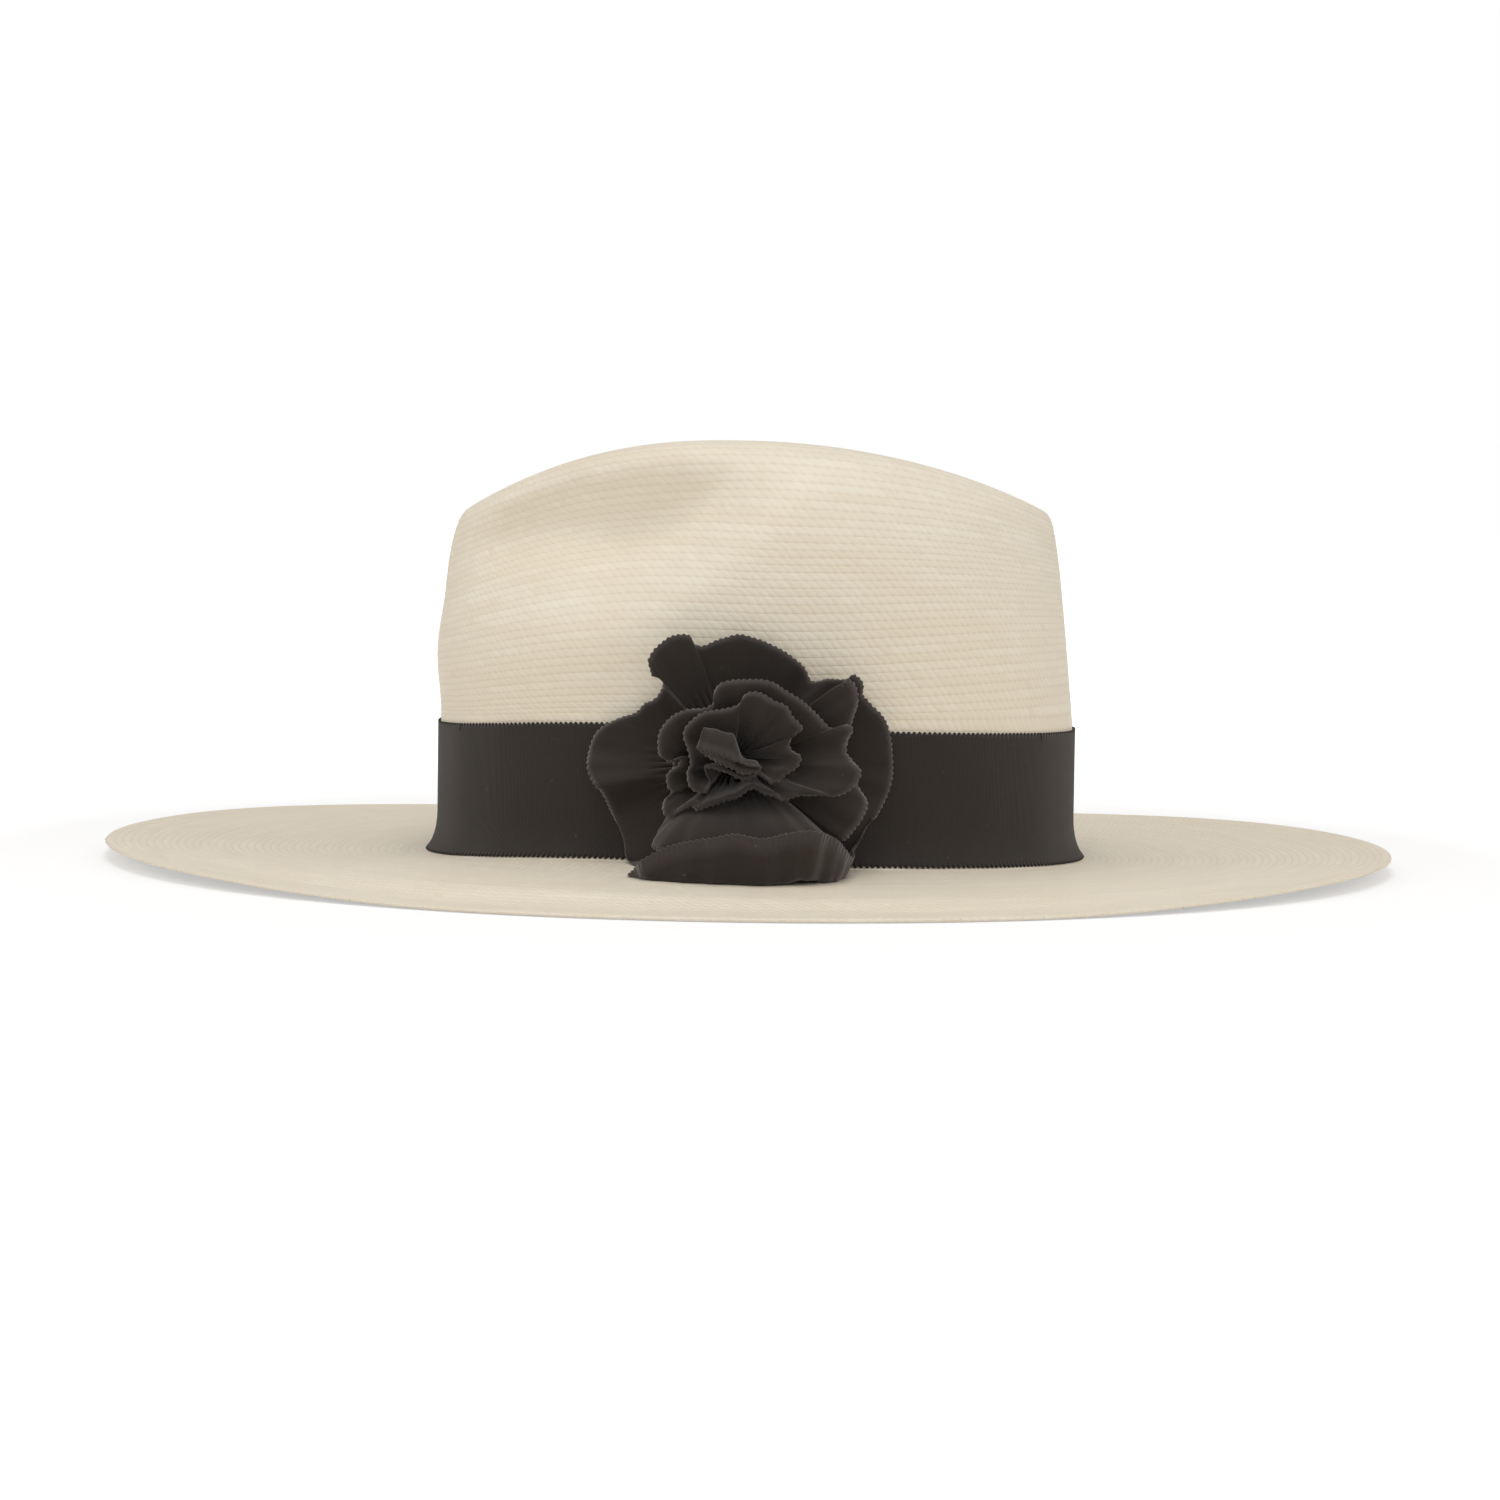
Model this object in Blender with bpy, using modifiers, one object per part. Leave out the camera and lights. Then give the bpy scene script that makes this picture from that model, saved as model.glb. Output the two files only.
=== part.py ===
"""Panama hat: a woven straw body with a flat brim and a pinched teardrop crown, a grosgrain ribbon
round the crown, a gathered ribbon rosette on the wearer's left, and a reeded leather sweatband inside.

Metres, +Z up. The front of the hat is -X and the rosette faces -Y. The brim's sides rest on z = 0.
"""

import math

import bmesh
import bpy
import numpy as np

MM = 0.001

# Head opening and the layers round it, from the inside out
HEAD_HALF_LENGTH = 98.8 * MM
HEAD_HALF_WIDTH = 79.0 * MM
SWEATBAND_THICKNESS = 1.0 * MM
STRAW_THICKNESS = 1.2 * MM
RIBBON_THICKNESS = 0.6 * MM
CLEARANCE = 0.3 * MM

# Brim
BRIM_HALF_LENGTH = 204.5 * MM
BRIM_HALF_WIDTH = 184.5 * MM
CROWN_SETBACK = 2.0 * MM
BREAK_SIDE_RISE = 3.6 * MM
BREAK_FRONT_RISE = 5.1 * MM
TIP_LIFT = 4.1 * MM
BREAK_FILLET_OUT = 6.2 * MM
BREAK_FILLET_UP = 14.2 * MM
REST_ARC_COSINE = 0.38
BRIM_DISH = 0.25
BRIM_DISH_END = 0.4
BRIM_CREST_START = 0.70
BRIM_REST_START = 0.88

# Crown, given on the inner face of the straw
WALL_HEIGHT = 45.0 * MM
RIDGE_HEIGHT = 132.2 * MM
RIDGE_TOP_SETBACK = 8.0 * MM
RIDGE_FRONT = 89.5 * MM
RIDGE_BACK = 88.5 * MM
RIDGE_HALF_WIDTH = 43.0 * MM
RIDGE_FRONT_DROP = 21.8 * MM
RIDGE_FRONT_POWER = 2.3
RIDGE_BACK_DROP = 21.0 * MM
RIDGE_BACK_POWER = 2.2
RIDGE_FRONT_PINCH = 0.7
CREASE_DEPTH = 24.0 * MM
CREASE_POWER = 0.75
FRONT_ROUNDING = 2.8
BACK_ROUNDING = 4.6
SIDE_ROUNDING = 3.0
BACK_TAPER = 0.55
FRONT_BULGE = 1.5 * MM
FRONT_BULGE_END = 0.62
DENT_DEPTH = 27.0 * MM
DENT_AHEAD = 50.0 * MM
DENT_HEIGHT = 106.0 * MM
DENT_LENGTH = 37.0 * MM
DENT_SQUARENESS = 4
DENT_TALL = 13.5 * MM
DENT_LEAN = 0.9
DENT_FADE = 22.0 * MM

# Ribbon round the crown
RIBBON_HEIGHT = 40.0 * MM
RIBBON_FOOT_ANGLE = math.radians(66)
RIBBON_LAP = 20.0 * MM
RIBBON_LAP_RAMP = 14.0 * MM
RIBBON_TACK_ANGLES = (15, 60, 115, 165, 205, 330)
THREAD_RADIUS = 0.2 * MM
TACK_REACH = 1.6 * MM
TACK_BITE = 0.7 * MM

# Sweatband and what is sewn to it
SWEATBAND_HEIGHT = 34.0 * MM
SWEATBAND_FOOT = 2.0 * MM
SWEATBAND_BUTT_GAP = 0.6 * MM
REED_RADIUS = 0.8 * MM
REED_ABOVE_FOOT = 1.0 * MM
STITCH_ABOVE_FOOT = 4.0 * MM
STITCH_RADIUS = 0.25 * MM
BOW_ABOVE_FOOT = 14.0 * MM
BOW_LOOP_LENGTH = 9.0 * MM
BOW_LOOP_DEPTH = 2.4 * MM
BOW_RIBBON_WIDTH = 4.0 * MM
BOW_RIBBON_THICKNESS = 0.4 * MM
BOW_KNOT_WIDTH = 3.4 * MM
BOW_STANDOFF = 0.9 * MM

# Rosette, centred on the ribbon's lapped ends
ROSETTE_AHEAD = 6.7 * MM
ROSETTE_ABOVE_BREAK = 32.2 * MM
BACKING_RADIUS = 15.0 * MM
BACKING_THICKNESS = 0.8 * MM
ROSETTE_TACK_ANGLES = (45, 135, 225, 315)
RUFFLE_THICKNESS = 0.6 * MM
GATHER_LEAST_STEP = 0.3

# Each ruffle has the mesh steps around it, the radius it is gathered to, its centre, how late it spreads
# (flare) and how early it stands out (rise) from the gathers to its free edge, its bow on the way, and
# that edge. A bow is millimetres up and out, how near it is to the free edge (a larger power is nearer),
# and 1 if it runs all round or 0 if it is only below, towards BOW_SIDE.
# An edge point is (right, up, out from the ribbon), in millimetres from the rosette's centre.
RUFFLES = {
    "outer_ruffle": {
        "around": 108,
        "gather_radius": 9.4 * MM,
        "centre": (0, 0),
        "flare": 0.6,
        "rise": 0.85,
        "bow": (-17, 8, 2.1, 0),
        "edge": [
            (47.5, 2.5, 6), (46.5, 10, 7), (44, 15.5, 8), (40.5, 18.5, 8), (38, 21.5, 9), (38, 25, 11),
            (35.5, 27.5, 13), (32.5, 26.5, 11), (27.5, 26.5, 7), (22.5, 25.5, 4), (20, 30, 4),
            (15.5, 33.5, 5), (9.5, 36.5, 6), (2.5, 39, 7), (-4.5, 37.5, 7), (-10.5, 35.5, 6),
            (-13, 38, 9), (-16.5, 39, 11), (-20.5, 37.5, 13), (-24.5, 33, 14), (-25.5, 30.5, 14),
            (-23, 26.5, 11), (-21.5, 23.5, 7), (-23.5, 19.5, 5), (-27, 17.5, 6), (-30.5, 14.5, 4),
            (-37, 12, 4), (-41.5, 9, 4), (-44, 3.5, 5), (-44, -2, 8), (-41, -7, 11), (-38.5, -11, 7),
            (-36.5, -16.5, 4), (-34, -22, 4), (-31.5, -27.5, 6), (-29, -30.5, 12), (-27, -31, 22),
            (-29.5, -31, 34), (-26, -25.5, 42), (-18, -20.5, 45), (-7.5, -18, 47), (0.5, -16.5, 47),
            (8.5, -17.5, 47), (20, -15.5, 45), (24.5, -16, 43.5), (29.5, -18.5, 38), (33.5, -24, 30),
            (35, -25.5, 20), (35.5, -23.5, 12),
            (39, -18.5, 8), (43, -14.5, 7), (46, -8.5, 6), (47.5, -3, 6),
        ],
    },
    "second_ruffle": {
        "around": 88,
        "gather_radius": 7.6 * MM,
        "centre": (0, 1),
        "flare": 1.2,
        "rise": 1.9,
        "bow": (1.6, 1.6, 0.85, 0),
        "edge": [
            (33.5, 6.5, 12.5), (35, 13.5, 14.5), (36.5, 19.5, 15.5), (36, 25, 16), (32.5, 26.5, 16.5),
            (27, 21, 13), (20.5, 18.5, 12), (12.5, 19.5, 12), (5, 20.5, 12), (-3, 18.5, 12),
            (-10, 14.5, 12), (-16, 9.5, 12), (-18, 2.5, 12), (-18.5, -4.5, 12.5), (-19.5, -12.5, 14),
            (-22, -18, 16), (-24, -21, 21), (-24, -22.5, 28), (-19, -24, 34), (-10, -24.5, 37.5),
            (1.5, -25, 38.5), (13, -24.5, 38), (22, -24, 35), (28.5, -22.5, 29), (29, -20.5, 22),
            (25, -18, 15), (28, -19, 15), (33, -21, 17), (36.5, -17.5, 17), (39, -13.5, 16),
            (40, -9.5, 14.5), (36.5, -3.5, 13), (34, 1.5, 12.5),
        ],
    },
    "middle_ruffle": {
        "around": 96,
        "gather_radius": 5.3 * MM,
        "centre": (0, 1.5),
        "flare": 1.3,
        "rise": 1.7,
        "bow": (0, 0, 1, 0),
        "edge": [
            (-22.5, 7, 22), (-22, 11, 22), (-19, 15, 22), (-14.5, 17.5, 22), (-9, 18, 21),
            (-6.5, 19.5, 20.5), (-6.5, 22.5, 21.5), (-4.5, 25.5, 23), (-1, 26.5, 24), (5.5, 27, 25),
            (10.5, 26.5, 25), (14.5, 24, 24), (19.5, 21, 22.5), (24, 17, 21), (28, 13, 20),
            (30.5, 13.5, 21), (33, 14, 22), (35, 12.5, 22), (34, 9.5, 21), (33, 6.5, 20.5),
            (34.5, 4.5, 22), (36.5, 2, 24), (37.5, -0.5, 25), (35, -4.5, 26), (30, -6.5, 26.5),
            (21, -6, 27), (18, -6.5, 28), (15, -7.5, 29), (12.5, -6.5, 30), (7, -4, 31), (2, -5.5, 32),
            (-2.5, -7.5, 32), (-7.5, -9.5, 31), (-11, -10.5, 30), (-13, -9.5, 28.5), (-16.5, -12, 27),
            (-19.5, -13.5, 26), (-21, -11.5, 25), (-20.5, -8, 23.5), (-18, -7, 22.5), (-19.5, -5, 22.5),
            (-19.5, -1.5, 23), (-16.5, 1, 23), (-16, 4, 22.5), (-19, 2.5, 21), (-22, 3.5, 21.5),
        ],
    },
    "inner_ruffle": {
        "around": 66,
        "gather_radius": 3.5 * MM,
        "centre": (-0.3, 2),
        "flare": 1.4,
        "rise": 1.6,
        "bow": (0, 0, 1, 0),
        "edge": [
            (-14.5, 12, 26), (-10, 16.5, 25.5), (-4, 18, 26), (0.5, 19.5, 27.5), (2, 22, 29),
            (4.5, 23.5, 30), (8, 23, 30.5), (12, 21, 30.5), (15, 19.5, 30), (17, 16.5, 30),
            (19, 14.5, 29.5), (20, 12.5, 29), (17.5, 11, 28), (16, 8.5, 27.5), (17, 6.5, 28),
            (19.5, 5, 29), (18.5, 2.5, 29.5), (15.5, 0.5, 30), (12, -1.5, 30.5), (8, 0, 31),
            (3, -0.5, 31.5), (-2, 1, 31.5), (-6, 2.5, 31), (-9, 2, 30), (-8.5, -0.5, 30),
            (-7, -3, 29.5), (-9, -5.5, 28.5), (-12.5, -4.5, 27.5), (-13.5, -1, 26.5), (-12.5, 2, 26.5),
            (-13.5, 7, 26.5),
        ],
    },
    "centre_bud": {
        "around": 36,
        "gather_radius": 1.8 * MM,
        "centre": (-0.5, 2.5),
        "flare": 1.5,
        "rise": 1.6,
        "bow": (7, 0, 2.4, 1),
        "edge": [
            (-10.5, 7, 32.5), (-8, 6.5, 33), (-4, 5.5, 34), (0, 4, 34), (4, 2.5, 34), (7.5, 1.5, 33.5),
            (4, 0.5, 34), (0, 1.5, 34), (-4, 3, 34), (-8, 5, 33),
        ],
    },
}
BOW_SIDE = math.radians(-85)
BOW_COSINES = (0.1, 0.75)

# Mesh density
AROUND = 56
BRIM_ROWS = (1.0, 0.96, 0.92, 0.88, 0.80, 0.70, 0.50, 0.28, 0.12, 0.0)
FILLET_ROWS = 4
WALL_ROWS = 9
TOP_ROWS = (0.86, 0.68, 0.48, 0.28, 0.12)
RIBBON_FILLET_ROWS = 3
RIBBON_WALL_ROWS = 1
RUFFLE_ROWS = 4
BACKING_AROUND = 24
BACKING_ROWS = 3
BOW_AROUND = 16
SPLINE_STEPS = 12
SEAT_SEARCH_STEPS = 40

STRAW_COLOUR = (0.73, 0.645, 0.49)
STRAW_ROUGHNESS = 0.62
RIBBON_COLOUR = (0.036, 0.031, 0.028)
RIBBON_ROUGHNESS = 0.75
LEATHER_COLOUR = (0.48, 0.30, 0.17)
LEATHER_ROUGHNESS = 0.5
REED_COLOUR = (0.55, 0.40, 0.25)
REED_ROUGHNESS = 0.45
THREAD_COLOUR = (0.62, 0.52, 0.38)
THREAD_ROUGHNESS = 0.7

# Inner face of the straw above the break, and each layer's distance out from that face
STRAW_HALF_LENGTH = HEAD_HALF_LENGTH + SWEATBAND_THICKNESS + CLEARANCE
STRAW_HALF_WIDTH = HEAD_HALF_WIDTH + SWEATBAND_THICKNESS + CLEARANCE
RIBBON_OFFSET = STRAW_THICKNESS + CLEARANCE
LAP_STEP = RIBBON_THICKNESS + CLEARANCE
SEAT_OFFSET = RIBBON_OFFSET + RIBBON_THICKNESS + LAP_STEP + CLEARANCE
HEAD_FACE = -(SWEATBAND_THICKNESS + CLEARANCE)


def smoothstep(low, high, value):
    """0 below low, 1 above high, and an even S between them."""
    t = min(1.0, max(0.0, (value - low) / (high - low)))
    return t * t * (3 - 2 * t)


def oval(angle, offset, height):
    """A point of the head's oval, moved out by offset from the straw's inner face."""
    x = CROWN_SETBACK + (STRAW_HALF_LENGTH + offset) * math.cos(angle)
    y = (STRAW_HALF_WIDTH + offset) * math.sin(angle)
    return (x, y, height)


def break_height(angle):
    """Underside of the brim where it meets the crown: lowest at the ends, higher on the sides and
    highest ahead of their middle."""
    side = abs(math.sin(angle))
    ahead = max(0.0, -math.cos(angle))
    return BREAK_SIDE_RISE * side**2 + BREAK_FRONT_RISE * ahead * side**3


def brim_height(angle, out):
    """Underside of the brim, from out = 0 at the break to out = 1 at the rim."""
    dish = 1 - BRIM_DISH * smoothstep(0, BRIM_DISH_END, out)
    crest = 1 - smoothstep(BRIM_CREST_START, BRIM_REST_START, out)
    lift = TIP_LIFT * smoothstep(REST_ARC_COSINE, 1, abs(math.cos(angle)))
    return break_height(angle) * dish * crest + lift * out * out


def brim_oval(out):
    """Half length, half width and centre of the brim's oval at this share of its width."""
    inner_length = STRAW_HALF_LENGTH + BREAK_FILLET_OUT
    inner_width = STRAW_HALF_WIDTH + BREAK_FILLET_OUT
    half_length = inner_length + (BRIM_HALF_LENGTH - inner_length) * out
    half_width = inner_width + (BRIM_HALF_WIDTH - inner_width) * out
    return half_length, half_width, CROWN_SETBACK * (1 - out)


def brim_point(angle, out):
    half_length, half_width, centre = brim_oval(out)
    x = centre + half_length * math.cos(angle)
    return (x, half_width * math.sin(angle), brim_height(angle, out))


def brim_top_under(x, y):
    """Height of the brim's upper face below or above the point (x, y)."""
    low, high = 0.0, 1.0
    for _ in range(SEAT_SEARCH_STEPS):
        out = (low + high) / 2
        half_length, half_width, centre = brim_oval(out)
        if ((x - centre) / half_length) ** 2 + (y / half_width) ** 2 > 1:
            low = out
        else:
            high = out
    angle = math.atan2(y / half_width, (x - centre) / half_length)
    return brim_height(angle, out) + STRAW_THICKNESS


def fillet(turn, offset):
    """Distance out and height above the break of the fillet, from turn = 0 on the wall to 90 degrees
    on the brim, moved by offset from the straw's inner face."""
    normal_out = math.cos(turn) / BREAK_FILLET_OUT
    normal_up = math.sin(turn) / BREAK_FILLET_UP
    length = math.hypot(normal_out, normal_up)
    out = BREAK_FILLET_OUT * (1 - math.cos(turn)) + offset * normal_out / length
    up = BREAK_FILLET_UP * (1 - math.sin(turn)) + offset * normal_up / length
    return out, up


def ridge_height(x):
    """Height of the crown's ridge line, x ahead (-) of or behind (+) the crown's centre."""
    if x < -RIDGE_TOP_SETBACK:
        share = (-x - RIDGE_TOP_SETBACK) / (RIDGE_FRONT - RIDGE_TOP_SETBACK)
        return RIDGE_HEIGHT - RIDGE_FRONT_DROP * share**RIDGE_FRONT_POWER
    share = (x + RIDGE_TOP_SETBACK) / (RIDGE_BACK + RIDGE_TOP_SETBACK)
    return RIDGE_HEIGHT - RIDGE_BACK_DROP * share**RIDGE_BACK_POWER


def ridge_half_width(angle):
    """Half width of the ridge loop at this angle: a teardrop, narrower towards the front."""
    pinch = 1 + RIDGE_FRONT_PINCH * max(0.0, -math.cos(angle))
    return RIDGE_HALF_WIDTH * abs(math.sin(angle)) ** pinch


def ridge_plan(angle):
    reach = RIDGE_BACK if math.cos(angle) > 0 else RIDGE_FRONT
    side = math.copysign(1, math.sin(angle))
    return reach * math.cos(angle), side * ridge_half_width(angle)


def dented(x, y, z):
    """The point (x, y, z) of the crown, pressed in by the pinch on its side of the front."""
    along = (x - CROWN_SETBACK + DENT_AHEAD - DENT_LEAN * (z - DENT_HEIGHT)) / DENT_LENGTH
    above = (z - DENT_HEIGHT) / DENT_TALL
    press = math.exp(-(along**DENT_SQUARENESS) - above**2 / 2)
    depth = DENT_DEPTH * press * smoothstep(0, DENT_FADE, abs(y))
    return (x, y - math.copysign(depth, y), z)


def wall_point(angle, turn):
    """Crown wall, from turn = 0 above the ribbon to 90 degrees at the ridge."""
    front = max(0.0, -math.cos(angle)) ** 2
    back = max(0.0, math.cos(angle)) ** 2
    rounding = front * FRONT_ROUNDING + back * BACK_ROUNDING + math.sin(angle) ** 2 * SIDE_ROUNDING
    rise = math.sin(turn) ** (2 / rounding)
    lean = 1 - max(0.0, math.cos(turn)) ** (2 / rounding)
    lean = back * BACK_TAPER * rise + (1 - back * BACK_TAPER) * lean
    ridge_x, ridge_y = ridge_plan(angle)
    base_height = break_height(angle) + WALL_HEIGHT
    base_x, base_y, _ = oval(angle, 0, base_height)
    x = base_x + (CROWN_SETBACK + ridge_x - base_x) * lean
    y = base_y + (ridge_y - base_y) * lean
    z = base_height + (ridge_height(ridge_x) - base_height) * rise
    x -= FRONT_BULGE * front * math.sin(math.pi * min(1.0, rise / FRONT_BULGE_END)) ** 2
    return dented(x, y, z)


def top_point(angle, share):
    """Crown top, from share = 1 at the ridge to 0 in the crease's middle."""
    ridge_x, ridge_y = ridge_plan(angle)
    x, y = ridge_x * share, ridge_y * share
    reach = RIDGE_BACK if x > 0 else RIDGE_FRONT
    local_half_width = ridge_half_width(math.acos(max(-1.0, min(1.0, x / reach))))
    across = min(1.0, abs(y) / local_half_width)
    crease = CREASE_DEPTH * (1 - (x / reach) ** 2) ** CREASE_POWER
    z = ridge_height(x) - crease * math.cos(math.pi / 2 * across) ** 2
    return dented(CROWN_SETBACK + x, y, z)


def rosette_point(right, up, out):
    """A point given from the rosette's centre, out from the seat on the lapped ribbon."""
    x = CROWN_SETBACK - ROSETTE_AHEAD + right
    half_length = STRAW_HALF_LENGTH + SEAT_OFFSET
    half_width = STRAW_HALF_WIDTH + SEAT_OFFSET
    y = -half_width * math.sqrt(1 - ((x - CROWN_SETBACK) / half_length) ** 2) - out
    z = break_height(-math.pi / 2) + ROSETTE_ABOVE_BREAK + up
    return (x, y, z)


def seated(point):
    """A ruffle's point, lifted onto the brim where it would lie lower."""
    x, y, z = point
    seat = brim_top_under(x, y) + CLEARANCE + RUFFLE_THICKNESS / 2
    return (x, y, max(z, seat))


def closed_spline(points, count):
    """Points spaced evenly along a closed Catmull-Rom curve through the given ones."""
    knots = np.array(points, float)
    before, after, second = np.roll(knots, 1, 0), np.roll(knots, -1, 0), np.roll(knots, -2, 0)
    dense = []
    for step in range(SPLINE_STEPS):
        t = step / SPLINE_STEPS
        dense.append(
            knots
            + t / 2 * (after - before)
            + t**2 * (before - 2.5 * knots + 2 * after - second / 2)
            + t**3 * (1.5 * (knots - after) + (second - before) / 2)
        )
    dense = np.stack(dense, 1).reshape(-1, 3)
    dense = np.vstack([dense, dense[:1]])
    lengths = np.concatenate([[0], np.cumsum(np.linalg.norm(np.diff(dense, axis=0), axis=1))])
    wanted = np.linspace(0, lengths[-1], count, endpoint=False)
    return np.stack([np.interp(wanted, lengths, dense[:, i]) for i in range(3)], 1)


def gather_angles(edge, centre):
    """Angle on the gathered ring for each point of the free edge. It follows the edge but never turns
    back."""
    own = np.unwrap(np.arctan2(edge[:, 1] - centre[1], edge[:, 0] - centre[0]))
    sense = np.sign(own[-1] - own[0])
    round_once = np.append(own, own[0] + sense * 2 * math.pi)
    steps = np.maximum(sense * np.diff(round_once), GATHER_LEAST_STEP * 2 * math.pi / len(own))
    steps *= 2 * math.pi / steps.sum()
    angles = sense * (np.cumsum(steps) - steps)
    return angles + (own - angles).mean()


def clear_scene():
    for obj in list(bpy.data.objects):
        bpy.data.objects.remove(obj, do_unlink=True)


def make_material(name, colour, roughness):
    material = bpy.data.materials.new(name)
    material.use_nodes = True
    shader = material.node_tree.nodes["Principled BSDF"]
    shader.inputs["Base Color"].default_value = (*colour, 1)
    shader.inputs["Roughness"].default_value = roughness
    shader.inputs["Metallic"].default_value = 0.0
    material.diffuse_color = (*colour, 1)
    return material


def add_object(name, data, material):
    obj = bpy.data.objects.new(name, data)
    data.materials.append(material)
    HAT.objects.link(obj)
    return obj


def loft(name, rows, material, thickness, offset, closed=True, pole=None):
    """A sheet through rows of points, closed round each row unless told, thickened by Solidify."""
    shape = bmesh.new()
    rings = [[shape.verts.new(point) for point in row] for row in rows]
    count = len(rings[0])
    for lower, upper in zip(rings, rings[1:]):
        for i in range(count if closed else count - 1):
            j = (i + 1) % count
            shape.faces.new((lower[i], lower[j], upper[j], upper[i]))
    if pole is not None:
        tip = shape.verts.new(pole)
        for i in range(count):
            shape.faces.new((rings[-1][i], rings[-1][(i + 1) % count], tip))
    mesh = bpy.data.meshes.new(name)
    shape.to_mesh(mesh)
    shape.free()
    mesh.shade_smooth()
    obj = add_object(name, mesh, material)
    solid = obj.modifiers.new("thickness", "SOLIDIFY")
    solid.thickness = thickness
    solid.offset = offset
    solid.use_even_offset = True
    return obj


def thread(name, points, radius, material, closed=False):
    """A round thread or rod along the points."""
    curve = bpy.data.curves.new(name, "CURVE")
    curve.dimensions = "3D"
    curve.bevel_depth = radius
    curve.bevel_resolution = 0
    curve.use_fill_caps = not closed
    spline = curve.splines.new("POLY")
    spline.points.add(len(points) - 1)
    for target, point in zip(spline.points, points):
        target.co = (*point, 1)
    spline.use_cyclic_u = closed
    return add_object(name, curve, material)


def ring_angles(count):
    return [2 * math.pi * i / count for i in range(count)]


def make_straw_body(material):
    """Brim and crown, woven in one piece."""
    angles = ring_angles(AROUND)
    rows = [[brim_point(angle, out) for angle in angles] for out in BRIM_ROWS]
    for step in range(1, FILLET_ROWS + 1):
        out, up = fillet(math.pi / 2 * (1 - step / FILLET_ROWS), 0)
        rows.append([oval(angle, out, break_height(angle) + up) for angle in angles])
    for step in range(WALL_ROWS + 1):
        turn = math.pi / 2 * step / WALL_ROWS
        rows.append([wall_point(angle, turn) for angle in angles])
    for share in TOP_ROWS:
        rows.append([top_point(angle, share) for angle in angles])
    return loft("straw_body", rows, material, STRAW_THICKNESS, 1, pole=top_point(0, 0))


def ribbon_profile():
    """(distance out, height above the break) of the ribbon's inner face, from its foot to its top."""
    steps = RIBBON_FILLET_ROWS
    turns = [RIBBON_FOOT_ANGLE * (1 - step / steps) for step in range(steps + 1)]
    profile = [fillet(turn, RIBBON_OFFSET) for turn in turns]
    foot, shoulder = profile[0][1], profile[-1][1]
    wall = foot + RIBBON_HEIGHT - shoulder
    for step in range(1, RIBBON_WALL_ROWS + 1):
        profile.append((RIBBON_OFFSET, shoulder + wall * step / RIBBON_WALL_ROWS))
    return profile


def make_hat_ribbon(material):
    """One strip once round the crown, its upper end lapped over its lower end under the rosette."""
    half_width = STRAW_HALF_WIDTH + RIBBON_OFFSET
    half_length = STRAW_HALF_LENGTH + RIBBON_OFFSET
    middle = -math.pi / 2 - ROSETTE_AHEAD / half_length
    lap, ramp = RIBBON_LAP / half_length, RIBBON_LAP_RAMP / half_length
    start, end = middle - lap / 2, middle + 2 * math.pi + lap / 2
    lifted = end - lap - CLEARANCE / half_width
    angles = [start + (end - start) * i / AROUND for i in range(AROUND + 1)]
    angles = sorted(angles + [lifted - ramp, lifted])
    rows = []
    for out, up in ribbon_profile():
        row = []
        for angle in angles:
            step = LAP_STEP * smoothstep(lifted - ramp, lifted, angle)
            row.append(oval(angle, out + step, break_height(angle) + up))
        rows.append(row)
    return loft("hat_ribbon", rows, material, RIBBON_THICKNESS, 1, closed=False)


def make_ribbon_tacks(material):
    """Hand stitches from the ribbon's upper edge into the straw."""
    top = ribbon_profile()[-1][1]
    on_ribbon = RIBBON_OFFSET + RIBBON_THICKNESS + CLEARANCE + THREAD_RADIUS
    on_straw = STRAW_THICKNESS + CLEARANCE + THREAD_RADIUS
    for number, degrees in enumerate(RIBBON_TACK_ANGLES, 1):
        angle = math.radians(degrees)
        height = break_height(angle) + top
        points = [
            oval(angle, on_ribbon, height - TACK_REACH),
            oval(angle, on_ribbon, height),
            oval(angle, (on_ribbon + on_straw) / 2, height + (on_ribbon - on_straw) / 2),
            oval(angle, on_straw, height + TACK_BITE),
        ]
        thread(f"ribbon_tack_{number}", points, THREAD_RADIUS, material)


def make_sweatband(leather, reed, stitching):
    """Leather strip standing in the crown, with the reed in its foot and the thread that sews it in."""
    gap = SWEATBAND_BUTT_GAP / (2 * HEAD_HALF_WIDTH)
    angles = [gap + (2 * math.pi - 2 * gap) * i / AROUND for i in range(AROUND + 1)]
    rows = []
    for up in (SWEATBAND_FOOT, SWEATBAND_FOOT + SWEATBAND_HEIGHT):
        rows.append([oval(angle, HEAD_FACE, break_height(angle) + up) for angle in angles])
    loft("sweatband", rows, leather, SWEATBAND_THICKNESS, 1, closed=False)
    ring = ring_angles(AROUND)
    reed_up = SWEATBAND_FOOT + REED_ABOVE_FOOT
    points = [oval(angle, REED_RADIUS, break_height(angle) + reed_up) for angle in ring]
    thread("sweatband_reed", points, REED_RADIUS, reed, closed=True)
    stitch_up = SWEATBAND_FOOT + STITCH_ABOVE_FOOT
    inside = HEAD_FACE - CLEARANCE - STITCH_RADIUS
    points = [oval(angle, inside, break_height(angle) + stitch_up) for angle in ring]
    thread("sweatband_stitching", points, STITCH_RADIUS, stitching, closed=True)


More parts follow.
